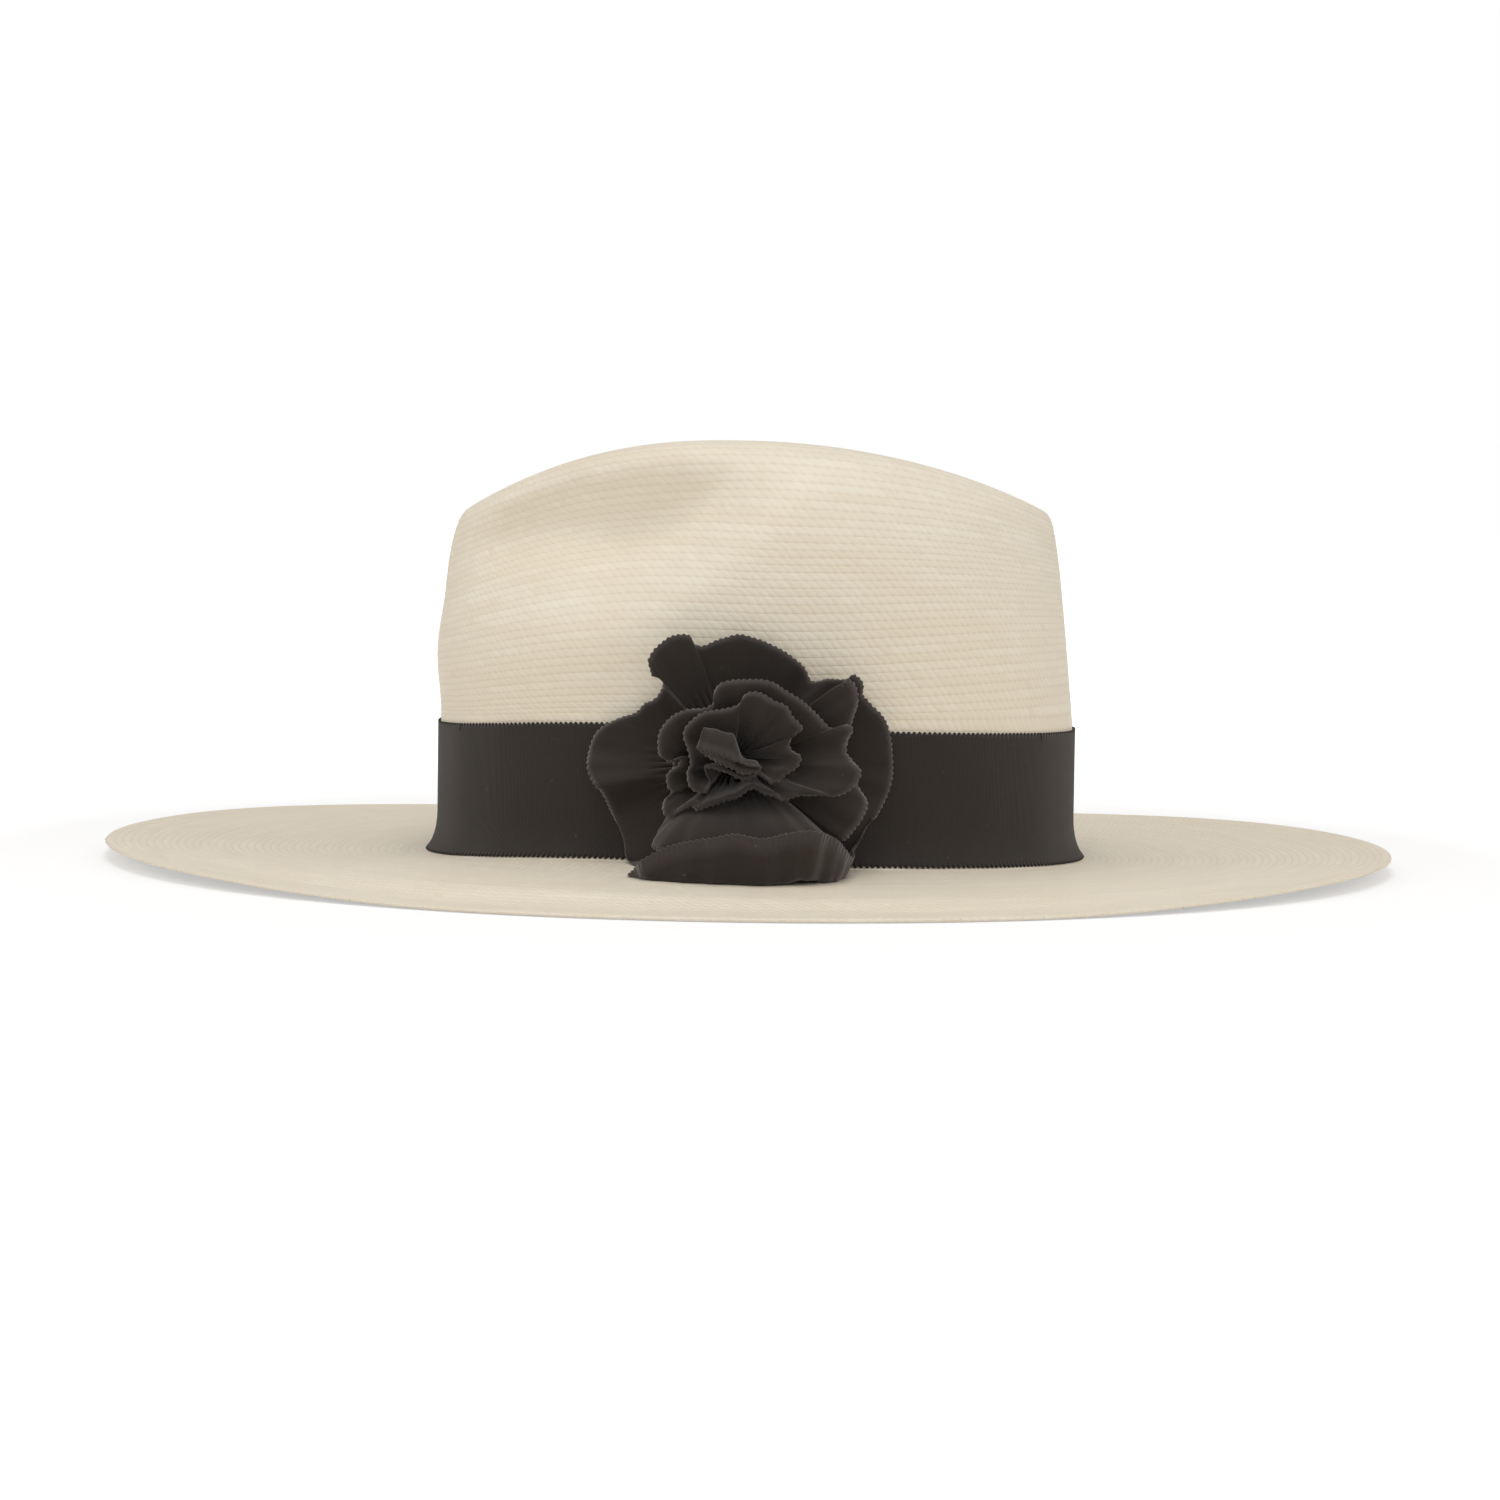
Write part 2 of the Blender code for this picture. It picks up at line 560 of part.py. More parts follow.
def make_seam_bow(material):
    """Small flat bow over the sweatband's butt seam at the back: two loops and the knot between them."""
    face = oval(0, HEAD_FACE, 0)[0] - BOW_STANDOFF
    inner_end = BOW_KNOT_WIDTH / 2 + BOW_RIBBON_THICKNESS + CLEARANCE
    middle = SWEATBAND_FOOT + BOW_ABOVE_FOOT
    half_depth = BOW_LOOP_DEPTH / 2
    for side, name in ((-1, "seam_bow_left_loop"), (1, "seam_bow_right_loop")):
        rows = []
        for height in (middle - BOW_RIBBON_WIDTH / 2, middle + BOW_RIBBON_WIDTH / 2):
            row = []
            for angle in ring_angles(BOW_AROUND):
                along = inner_end + BOW_LOOP_LENGTH * (1 - math.cos(angle)) / 2
                curl = HEAD_HALF_LENGTH * (1 - math.sqrt(1 - (along / HEAD_HALF_WIDTH) ** 2))
                x = face - half_depth + half_depth * math.sin(angle) - curl
                row.append((x, side * along, height))
            rows.append(row[::side])
        loft(name, rows, material, BOW_RIBBON_THICKNESS, 1)
    bpy.ops.mesh.primitive_cube_add(size=1, location=(face - half_depth, 0, middle))
    knot = bpy.context.object
    knot.name = "seam_bow_knot"
    knot.data.transform(
        np.diag([BOW_LOOP_DEPTH, BOW_KNOT_WIDTH, BOW_RIBBON_WIDTH + 2 * BOW_RIBBON_THICKNESS, 1]).tolist()
    )
    knot.data.materials.append(material)
    for collection in list(knot.users_collection):
        collection.objects.unlink(knot)
    HAT.objects.link(knot)
    rounding = knot.modifiers.new("rounding", "BEVEL")
    rounding.width = BOW_RIBBON_THICKNESS
    rounding.segments = 2


def make_rosette_backing(material):
    """Stiff disc on the ribbon that the ruffles are sewn to, curved as the crown is."""
    rows = []
    for step in range(BACKING_ROWS, 0, -1):
        radius = BACKING_RADIUS * step / BACKING_ROWS
        ring = ring_angles(BACKING_AROUND)
        rows.append([rosette_point(radius * math.cos(a), radius * math.sin(a), 0) for a in ring])
    pole = rosette_point(0, 0, 0)
    return loft("rosette_backing", rows, material, BACKING_THICKNESS, 1, pole=pole)


def make_rosette_tacks(material):
    """Stitches over the backing's rim that hold it to the ribbon."""
    above = BACKING_THICKNESS + CLEARANCE + THREAD_RADIUS
    beyond = BACKING_RADIUS + CLEARANCE + THREAD_RADIUS
    route = [
        (BACKING_RADIUS - TACK_REACH, above),
        (BACKING_RADIUS, above),
        (beyond, BACKING_THICKNESS / 2),
        (beyond + CLEARANCE, THREAD_RADIUS),
    ]
    for number, degrees in enumerate(ROSETTE_TACK_ANGLES, 1):
        angle = math.radians(degrees)
        points = [rosette_point(r * math.cos(angle), r * math.sin(angle), out) for r, out in route]
        thread(f"rosette_tack_{number}", points, THREAD_RADIUS, material)


def ruffle_bow(bow, angle, share):
    """How far up and out a ruffle bows at this share of its way from the gathers to its free edge."""
    up, out, power, all_round = bow
    side = max(all_round, smoothstep(*BOW_COSINES, math.cos(angle - BOW_SIDE)))
    size = MM * side * math.sin(math.pi * share**power)
    return up * size, out * size


def make_ruffle(name, shape, material):
    """A length of ribbon gathered along one edge to a small ring, its other edge standing free in waves."""
    edge = closed_spline(shape["edge"], shape["around"]) * MM
    centre = np.array(shape["centre"]) * MM
    radius = shape["gather_radius"]
    foot = BACKING_THICKNESS + CLEARANCE + THREAD_RADIUS + RUFFLE_THICKNESS / 2
    angles = gather_angles(edge, centre)
    rows = []
    for step in range(RUFFLE_ROWS):
        share = step / (RUFFLE_ROWS - 1)
        spread = share ** shape["flare"]
        rise = 1 - (1 - share) ** shape["rise"]
        row = []
        for angle, (right, up, out) in zip(angles, edge):
            foot_right = centre[0] + radius * math.cos(angle)
            foot_up = centre[1] + radius * math.sin(angle)
            bow_up, bow_out = ruffle_bow(shape["bow"], angle, share)
            point = rosette_point(
                foot_right + (right - foot_right) * spread,
                foot_up + (up - foot_up) * spread + bow_up,
                foot + (out - foot) * rise + bow_out,
            )
            row.append(seated(point))
        rows.append(row)
    return loft(name, rows, material, RUFFLE_THICKNESS, 0)


clear_scene()
HAT = bpy.data.collections.new("panama_hat")
bpy.context.scene.collection.children.link(HAT)

straw = make_material("straw", STRAW_COLOUR, STRAW_ROUGHNESS)
grosgrain = make_material("grosgrain", RIBBON_COLOUR, RIBBON_ROUGHNESS)
leather = make_material("leather", LEATHER_COLOUR, LEATHER_ROUGHNESS)
reed = make_material("reed", REED_COLOUR, REED_ROUGHNESS)
tan_thread = make_material("tan_thread", THREAD_COLOUR, THREAD_ROUGHNESS)
black_thread = make_material("black_thread", RIBBON_COLOUR, THREAD_ROUGHNESS)

make_straw_body(straw)
make_hat_ribbon(grosgrain)
make_ribbon_tacks(black_thread)
make_sweatband(leather, reed, tan_thread)
make_seam_bow(grosgrain)
make_rosette_backing(grosgrain)
make_rosette_tacks(black_thread)
for ruffle_name, ruffle_shape in RUFFLES.items():
    make_ruffle(ruffle_name, ruffle_shape, grosgrain)
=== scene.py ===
import math

import bpy
import numpy as np
from mathutils import Matrix, Vector


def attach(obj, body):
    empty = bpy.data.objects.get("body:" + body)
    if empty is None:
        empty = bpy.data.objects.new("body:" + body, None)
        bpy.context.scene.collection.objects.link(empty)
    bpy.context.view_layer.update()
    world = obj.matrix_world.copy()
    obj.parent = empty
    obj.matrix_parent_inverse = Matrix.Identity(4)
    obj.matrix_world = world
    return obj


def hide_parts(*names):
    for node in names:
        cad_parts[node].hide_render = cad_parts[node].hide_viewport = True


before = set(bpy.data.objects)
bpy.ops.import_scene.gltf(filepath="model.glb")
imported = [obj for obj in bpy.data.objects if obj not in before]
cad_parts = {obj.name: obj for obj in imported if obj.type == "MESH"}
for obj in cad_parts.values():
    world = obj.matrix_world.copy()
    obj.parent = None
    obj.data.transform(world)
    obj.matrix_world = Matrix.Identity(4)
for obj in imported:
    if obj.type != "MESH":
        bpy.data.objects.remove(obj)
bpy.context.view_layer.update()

MM = 0.001
UPWARDS = np.array([0.0, 0.0, 1.0])

# Photo, in pixels of its 1500 by 1500 frame
PHOTO_WIDTH = 1500
FOCAL_PIXELS = 4052
HORIZON_ROW = 453
PHOTO_ROLL = math.radians(0.8)

# Camera, from the middle of the brim
CAMERA_DISTANCE = 1300 * MM
CAMERA_HEIGHT = 129.6 * MM
SENSOR_WIDTH = 36

# Light: each lamp's place and width in metres, and its power in watts
LAMPS = {
    "left": ((-1.64, -0.77, 0.91), 1.2, 6.0),
    "right": ((1.64, -0.77, 0.91), 1.2, 5.6),
    "top": ((0.0, -0.5, 2.3), 1.2, 16.5),
    "back": ((0.2, 1.6, 1.8), 1.6, 1.0),
    "front": ((0.0, -2.2, 0.5), 1.4, 3.6),
}
LAMP_TARGET = (0, 0, 0.06)
WORLD_COLOUR = (1.0, 0.985, 0.96, 1)
WORLD_STRENGTH = 0.48
WHITE = (1, 1, 1, 1)

# Floor: its grey where it throws light back and where it is seen, and the glow that makes the seen floor
# white, which grows between two distances from the hat's middle
FLOOR_HALF_WIDTH = 6.0
FLOOR_DROP = 0.2 * MM
FLOOR_BOUNCE = (0.86, 0.86, 0.86, 1)
FLOOR_SEEN = (0.6, 0.6, 0.6, 1)
FLOOR_GLOW = (0.46, 1.0)
FLOOR_GLOW_DISTANCES = (0.24, 0.5)

# The hat's forms, as in the solids
HEAD_HALF_LENGTH = 98.8 * MM
HEAD_HALF_WIDTH = 79.0 * MM
SWEATBAND_THICKNESS = 1.0 * MM
STRAW_THICKNESS = 1.2 * MM
RIBBON_THICKNESS = 0.6 * MM
CLEARANCE = 0.3 * MM
BRIM_HALF_LENGTH = 204.5 * MM
BRIM_HALF_WIDTH = 184.5 * MM
CROWN_SETBACK = 2.0 * MM
BREAK_SIDE_RISE = 3.6 * MM
BREAK_FRONT_RISE = 5.1 * MM
TIP_LIFT = 4.1 * MM
BREAK_FILLET_OUT = 6.2 * MM
BREAK_FILLET_UP = 14.2 * MM
REST_ARC_COSINE = 0.38
BRIM_DISH = 0.25
BRIM_DISH_END = 0.4
BRIM_CREST_START = 0.70
BRIM_REST_START = 0.88
WALL_HEIGHT = 45.0 * MM
RIDGE_HEIGHT = 132.2 * MM
RIDGE_TOP_SETBACK = 8.0 * MM
RIDGE_FRONT = 89.5 * MM
RIDGE_BACK = 88.5 * MM
RIDGE_HALF_WIDTH = 43.0 * MM
RIDGE_FRONT_DROP = 21.8 * MM
RIDGE_FRONT_POWER = 2.3
RIDGE_BACK_DROP = 21.0 * MM
RIDGE_BACK_POWER = 2.2
RIDGE_FRONT_PINCH = 0.7
CREASE_DEPTH = 24.0 * MM
CREASE_POWER = 0.75
FRONT_ROUNDING = 2.8
BACK_ROUNDING = 4.6
SIDE_ROUNDING = 3.0
BACK_TAPER = 0.55
FRONT_BULGE = 1.5 * MM
FRONT_BULGE_END = 0.62
DENT_DEPTH = 27.0 * MM
DENT_AHEAD = 50.0 * MM
DENT_HEIGHT = 106.0 * MM
DENT_LENGTH = 37.0 * MM
DENT_SQUARENESS = 4
DENT_TALL = 13.5 * MM
DENT_LEAN = 0.9
DENT_FADE = 22.0 * MM
RIBBON_HEIGHT = 40.0 * MM
RIBBON_FOOT_ANGLE = math.radians(66)
RIBBON_LAP = 20.0 * MM
RIBBON_LAP_RAMP = 14.0 * MM
SWEATBAND_HEIGHT = 34.0 * MM
SWEATBAND_FOOT = 2.0 * MM
SWEATBAND_BUTT_GAP = 0.6 * MM
STITCH_ABOVE_FOOT = 4.0 * MM
STITCH_RADIUS = 0.25 * MM
BOW_ABOVE_FOOT = 14.0 * MM
BOW_LOOP_LENGTH = 9.0 * MM
BOW_LOOP_DEPTH = 2.4 * MM
BOW_RIBBON_WIDTH = 4.0 * MM
BOW_RIBBON_THICKNESS = 0.4 * MM
BOW_KNOT_WIDTH = 3.4 * MM
BOW_STANDOFF = 0.9 * MM
ROSETTE_AHEAD = 6.7 * MM
ROSETTE_ABOVE_BREAK = 32.2 * MM
BACKING_THICKNESS = 0.8 * MM
THREAD_RADIUS = 0.2 * MM
RUFFLE_THICKNESS = 0.6 * MM
GATHER_LEAST_STEP = 0.3

# Finer than the solids: the straw's weave and the stubs of its trimmed ends
WEAVE_ROW = 2.4 * MM
WEAVE_STROKE = 2.6 * MM
WEAVE_LEAN = 0.8
WEAVE_RELIEF = 0.05 * MM
WEAVE_INNER_RELIEF = 0.6
WEAVE_AROUND = 240
WEAVE_SAMPLES = 1001
WEAVE_LEAST_STROKES = 6
WEAVE_SEAM = 0.75
WEAVE_RIM_ROW = 1000
WEAVE_ROW_INSET = 1e-4
RIM_TURNS = (0.25, 0.5, 0.75)
STUB_SEED = 7
STUB_COUNT = 300
STUB_SIDES = 5
STUB_INSET = 0.012
STUB_OUT = (0.5, 1.0)
STUB_ASIDE = (-1.2, 1.2)
STUB_RISE = (-0.35, 0.35)
STUB_LENGTH = (0.5 * MM, 1.1 * MM)
STUB_RADIUS = (0.14 * MM, 0.26 * MM)

# The ribbon
PICOT_PITCH = 1.75 * MM
PICOT_REACH = 0.85 * MM
PICOT_STEPS = 6
RIBS_PER_PICOT = 3
RIBBON_SHEET = 0.5 * MM
RIBBON_SAMPLES = 4000
RIBBON_FOOT_STEPS = 6
RIBBON_WALL_SHARES = (0.3, 0.6, 0.85, 0.97, 1.0)
RIBBON_EASE = 0.12 * MM
RIBBON_WAVE_SEED = 3
RIBBON_WAVE_DEPTH = (0.03 * MM, 0.10 * MM)
RIBBON_WAVE_COUNTS = (5, 9, 14, 23)
RIBBON_TOP_WAVE = 1.6

# The ruffles' cloth
RUFFLE_FINE_ROWS = 22
RUFFLE_ROW_POWER = 0.9
RUFFLE_SHEET = 0.45 * MM
RUFFLE_PICOT_REACH = 0.45 * MM
FREE_EDGE_V = 20
GATHER_LENGTH = 4.8 * MM
PLEAT_FULLNESS = 2.2
PLEAT_DRIFTS = ((0.9, 5), (0.5, 11))
FOLD_LENGTH = 60.0 * MM
FOLD_GROWTH = 0.7
FLUTTER_LENGTH = 13.0 * MM
FLUTTER_DEPTH = 0.35 * MM
FLUTTER_LEAST = 3
FLUTTER_DRIFT = (1.3, 3)
FLUTTER_SECOND = (0.6, 1.7, 2.0)
LIP_DEPTH = 0.9 * MM
LIP_START = 0.9

# The sweatband, its stitches and its bow
SWEATBAND_SHEET = 0.9 * SWEATBAND_THICKNESS
SWEATBAND_COLUMNS = 241
SWEATBAND_ROW_SHARES = (0, 0.03, 0.1, 0.3, 0.5, 0.7, 0.9, 0.98, 1.0)
SWEATBAND_WAVE_SEED = 11
SWEATBAND_WAVE_DEPTH = (0.02 * MM, 0.05 * MM)
SWEATBAND_WAVE_COUNTS = (7, 12, 19)
SWEATBAND_EDGE = 0.25 * MM
STITCH_LENGTH = 3.2 * MM
STITCH_SPACE = 1.6 * MM
STITCH_SIDES = 6
STITCH_ARCH = (0.0, 0.7, 1.0, 1.0, 0.7, 0.0)
STITCH_STAND = (0.2, 1.2)
STITCH_END = 0.6
BOW_SHEET = 0.8 * BOW_RIBBON_THICKNESS
BOW_STEPS = 48
BOW_ROWS = 7
BOW_UV = (12, 2)
BOW_NARROW = 0.62
BOW_WIDE_FROM = 0.6
BOW_EDGE_HOLLOW = 0.25
BOW_DROOP = 0.5 * MM
KNOT_STEPS = 28
KNOT_ROWS = 9
KNOT_UV = (10, 2)
KNOT_WAIST = 0.18
KNOT_ROUNDING = 0.7

STRAW_HALF_LENGTH = HEAD_HALF_LENGTH + SWEATBAND_THICKNESS + CLEARANCE
STRAW_HALF_WIDTH = HEAD_HALF_WIDTH + SWEATBAND_THICKNESS + CLEARANCE
RIBBON_OFFSET = STRAW_THICKNESS + CLEARANCE
LAP_STEP = RIBBON_THICKNESS + CLEARANCE
SEAT_OFFSET = RIBBON_OFFSET + RIBBON_THICKNESS + LAP_STEP + CLEARANCE
HEAD_FACE = -(SWEATBAND_THICKNESS + CLEARANCE)

# The rosette's ruffles: radius and centre of the sewn edge, how late the ribbon spreads (flare), how early
# it stands out (rise), its bow and how soon its pleats die out (fade) on the way to the free edge, and that
# edge as (right, up, out from the ribbon), in millimetres from the rosette's centre. A bow is millimetres up
# and out, how near the free edge it is, and 1 if it runs all round or 0 if it is only below. A taper is the
# share of its way up that a bow loses towards the right.
RUFFLES = {
    "outer_ruffle": {
        "gather_radius": 9.4 * MM,
        "centre": (0, 0),
        "flare": 0.6,
        "rise": 0.85,
        "bow": (-17, 8, 2.1, 0),
        "fade": 9.0,
        "edge": [
            (47.5, 2.5, 6), (46.5, 10, 7), (44, 15.5, 8), (40.5, 18.5, 8), (38, 21.5, 9), (38, 25, 11),
            (35.5, 27.5, 13), (32.5, 26.5, 11), (27.5, 26.5, 7), (22.5, 25.5, 4), (20, 30, 4),
            (15.5, 33.5, 5), (9.5, 36.5, 6), (2.5, 39, 7), (-4.5, 37.5, 7), (-10.5, 35.5, 6),
            (-13, 38, 9), (-16.5, 39, 11), (-20.5, 37.5, 13), (-24.5, 33, 14), (-25.5, 30.5, 14),
            (-23, 26.5, 11), (-21.5, 23.5, 7), (-23.5, 19.5, 5), (-27, 17.5, 6), (-30.5, 14.5, 4),
            (-37, 12, 4), (-41.5, 9, 4), (-44, 3.5, 5), (-44, -2, 8), (-41, -7, 11), (-38.5, -11, 7),
            (-36.5, -16.5, 4), (-34, -22, 4), (-31.5, -27.5, 6), (-29, -30.5, 12), (-27, -31, 22),
            (-29.5, -31, 34), (-26, -25.5, 42), (-18, -20.5, 45), (-7.5, -18, 47), (0.5, -16.5, 47),
            (8.5, -17.5, 47), (20, -15.5, 45), (24.5, -16, 43.5), (29.5, -18.5, 38), (33.5, -24, 30),
            (35, -25.5, 20), (35.5, -23.5, 12),
            (39, -18.5, 8), (43, -14.5, 7), (46, -8.5, 6), (47.5, -3, 6),
        ],
    },
    "second_ruffle": {
        "gather_radius": 7.6 * MM,
        "centre": (0, 1),
        "flare": 1.2,
        "rise": 1.9,
        "bow": (1.6, 1.6, 0.85, 0),
        "fade": 9.0,
        "edge": [
            (33.5, 6.5, 12.5), (35, 13.5, 14.5), (36.5, 19.5, 15.5), (36, 25, 16), (32.5, 26.5, 16.5),
            (27, 21, 13), (20.5, 18.5, 12), (12.5, 19.5, 12), (5, 20.5, 12), (-3, 18.5, 12),
            (-10, 14.5, 12), (-16, 9.5, 12), (-18, 2.5, 12), (-18.5, -4.5, 12.5), (-19.5, -12.5, 14),
            (-22, -18, 16), (-24, -21, 21), (-24, -22.5, 28), (-19, -24, 34), (-10, -24.5, 37.5),
            (1.5, -25, 38.5), (13, -24.5, 38), (22, -24, 35), (28.5, -22.5, 29), (29, -20.5, 22),
            (25, -18, 15), (28, -19, 15), (33, -21, 17), (36.5, -17.5, 17), (39, -13.5, 16),
            (40, -9.5, 14.5), (36.5, -3.5, 13), (34, 1.5, 12.5),
        ],
    },
    "middle_ruffle": {
        "gather_radius": 5.3 * MM,
        "centre": (0, 1.5),
        "flare": 1.3,
        "rise": 1.7,
        "bow": (0, 0, 1, 0),
        "fade": 5.0,
        "edge": [
            (-22.5, 7, 22), (-22, 11, 22), (-19, 15, 22), (-14.5, 17.5, 22), (-9, 18, 21),
            (-6.5, 19.5, 20.5), (-6.5, 22.5, 21.5), (-4.5, 25.5, 23), (-1, 26.5, 24), (5.5, 27, 25),
            (10.5, 26.5, 25), (14.5, 24, 24), (19.5, 21, 22.5), (24, 17, 21), (28, 13, 20),
            (30.5, 13.5, 21), (33, 14, 22), (35, 12.5, 22), (34, 9.5, 21), (33, 6.5, 20.5),
            (34.5, 4.5, 22), (36.5, 2, 24), (37.5, -0.5, 25), (35, -4.5, 26), (30, -6.5, 26.5),
            (21, -6, 27), (18, -6.5, 28), (15, -7.5, 29), (12.5, -6.5, 30), (7, -4, 31), (2, -5.5, 32),
            (-2.5, -7.5, 32), (-7.5, -9.5, 31), (-11, -10.5, 30), (-13, -9.5, 28.5), (-16.5, -12, 27),
            (-19.5, -13.5, 26), (-21, -11.5, 25), (-20.5, -8, 23.5), (-18, -7, 22.5), (-19.5, -5, 22.5),
            (-19.5, -1.5, 23), (-16.5, 1, 23), (-16, 4, 22.5), (-19, 2.5, 21), (-22, 3.5, 21.5),
        ],
    },
    "inner_ruffle": {
        "gather_radius": 3.5 * MM,
        "centre": (-0.3, 2),
        "flare": 1.4,
        "rise": 1.6,
        "bow": (0, 0, 1, 0),
        "fade": 5.0,
        "edge": [
            (-14.5, 12, 26), (-10, 16.5, 25.5), (-4, 18, 26), (0.5, 19.5, 27.5), (2, 22, 29),
            (4.5, 23.5, 30), (8, 23, 30.5), (12, 21, 30.5), (15, 19.5, 30), (17, 16.5, 30),
            (19, 14.5, 29.5), (20, 12.5, 29), (17.5, 11, 28), (16, 8.5, 27.5), (17, 6.5, 28),
            (19.5, 5, 29), (18.5, 2.5, 29.5), (15.5, 0.5, 30), (12, -1.5, 30.5), (8, 0, 31),
            (3, -0.5, 31.5), (-2, 1, 31.5), (-6, 2.5, 31), (-9, 2, 30), (-8.5, -0.5, 30),
            (-7, -3, 29.5), (-9, -5.5, 28.5), (-12.5, -4.5, 27.5), (-13.5, -1, 26.5), (-12.5, 2, 26.5),
            (-13.5, 7, 26.5),
        ],
    },
    "centre_bud": {
        "gather_radius": 1.8 * MM,
        "centre": (-0.5, 2.5),
        "flare": 1.5,
        "rise": 1.6,
        "bow": (7, 0, 2.4, 1),
        "taper": 0.75,
        "fade": 5.0,
        "edge": [
            (-10.5, 7, 32.5), (-8, 6.5, 33), (-4, 5.5, 34), (0, 4, 34), (4, 2.5, 34), (7.5, 1.5, 33.5),
            (4, 0.5, 34), (0, 1.5, 34), (-4, 3, 34), (-8, 5, 33),
        ],
    },
}
BOW_SIDE = math.radians(-85)
BOW_COSINES = (0.1, 0.75)
SPLINE_STEPS = 12
HALVINGS = 40


# Forms

def smoothstep(low, high, value):
    t = np.clip((value - low) / (high - low), 0, 1)
    return t * t * (3 - 2 * t)


def oval(angle, offset, height):
    x = CROWN_SETBACK + (STRAW_HALF_LENGTH + offset) * np.cos(angle)
    y = (STRAW_HALF_WIDTH + offset) * np.sin(angle)
    return np.stack([x, y, height + 0 * x], -1)


def break_height(angle):
    side = np.abs(np.sin(angle))
    ahead = np.clip(-np.cos(angle), 0, None)
    return BREAK_SIDE_RISE * side**2 + BREAK_FRONT_RISE * ahead * side**3


def brim_height(angle, out):
    dish = 1 - BRIM_DISH * smoothstep(0, BRIM_DISH_END, out)
    crest = 1 - smoothstep(BRIM_CREST_START, BRIM_REST_START, out)
    lift = TIP_LIFT * smoothstep(REST_ARC_COSINE, 1, np.abs(np.cos(angle)))
    return break_height(angle) * dish * crest + lift * out * out


def brim_oval(out):
    inner_length = STRAW_HALF_LENGTH + BREAK_FILLET_OUT
    inner_width = STRAW_HALF_WIDTH + BREAK_FILLET_OUT
    half_length = inner_length + (BRIM_HALF_LENGTH - inner_length) * out
    half_width = inner_width + (BRIM_HALF_WIDTH - inner_width) * out
    return half_length, half_width, CROWN_SETBACK * (1 - out)


def brim_point(angle, out):
    half_length, half_width, centre = brim_oval(out)
    x = centre + half_length * np.cos(angle)
    return np.stack([x, half_width * np.sin(angle), brim_height(angle, out)], -1)


def brim_top_under(x, y):
    """Height of the brim's upper face at points of its plan, found by halving the way out."""
    low, high = np.zeros_like(x), np.ones_like(x)
    for _ in range(HALVINGS):
        out = (low + high) / 2
        half_length, half_width, centre = brim_oval(out)
        outside = ((x - centre) / half_length) ** 2 + (y / half_width) ** 2 > 1
        low, high = np.where(outside, out, low), np.where(outside, high, out)
    angle = np.arctan2(y / half_width, (x - centre) / half_length)
    return brim_height(angle, out) + STRAW_THICKNESS


def fillet(turn, offset):
    normal_out = math.cos(turn) / BREAK_FILLET_OUT
    normal_up = math.sin(turn) / BREAK_FILLET_UP
    length = math.hypot(normal_out, normal_up)
    out = BREAK_FILLET_OUT * (1 - math.cos(turn)) + offset * normal_out / length
    up = BREAK_FILLET_UP * (1 - math.sin(turn)) + offset * normal_up / length
    return out, up


def ridge_height(x):
    front = np.clip((-x - RIDGE_TOP_SETBACK) / (RIDGE_FRONT - RIDGE_TOP_SETBACK), 0, None)
    back = np.clip((x + RIDGE_TOP_SETBACK) / (RIDGE_BACK + RIDGE_TOP_SETBACK), 0, None)
    front_drop = RIDGE_FRONT_DROP * front**RIDGE_FRONT_POWER
    back_drop = RIDGE_BACK_DROP * back**RIDGE_BACK_POWER
    return RIDGE_HEIGHT - front_drop - back_drop


def ridge_half_width(angle):
    pinch = 1 + RIDGE_FRONT_PINCH * np.clip(-np.cos(angle), 0, None)
    return RIDGE_HALF_WIDTH * np.abs(np.sin(angle)) ** pinch


def ridge_plan(angle):
    reach = np.where(np.cos(angle) > 0, RIDGE_BACK, RIDGE_FRONT)
    return reach * np.cos(angle), np.copysign(ridge_half_width(angle), np.sin(angle))


def dented(x, y, z):
    along = (x - CROWN_SETBACK + DENT_AHEAD - DENT_LEAN * (z - DENT_HEIGHT)) / DENT_LENGTH
    above = (z - DENT_HEIGHT) / DENT_TALL
    press = np.exp(-(along**DENT_SQUARENESS) - above**2 / 2)
    depth = DENT_DEPTH * press * smoothstep(0, DENT_FADE, np.abs(y))
    return np.stack([x, y - np.copysign(depth, y), z], -1)


def wall_point(angle, turn):
    front = np.clip(-np.cos(angle), 0, None) ** 2
    back = np.clip(np.cos(angle), 0, None) ** 2
    rounding = front * FRONT_ROUNDING + back * BACK_ROUNDING + np.sin(angle) ** 2 * SIDE_ROUNDING
    rise = max(0.0, math.sin(turn)) ** (2 / rounding)
    lean = 1 - max(0.0, math.cos(turn)) ** (2 / rounding)
    lean = back * BACK_TAPER * rise + (1 - back * BACK_TAPER) * lean
    ridge_x, ridge_y = ridge_plan(angle)
    base_height = break_height(angle) + WALL_HEIGHT
    base = oval(angle, 0, base_height)
    x = base[..., 0] + (CROWN_SETBACK + ridge_x - base[..., 0]) * lean
    y = base[..., 1] + (ridge_y - base[..., 1]) * lean
    z = base_height + (ridge_height(ridge_x) - base_height) * rise
    x = x - FRONT_BULGE * front * np.sin(np.pi * np.minimum(1, rise / FRONT_BULGE_END)) ** 2
    return dented(x, y, z)


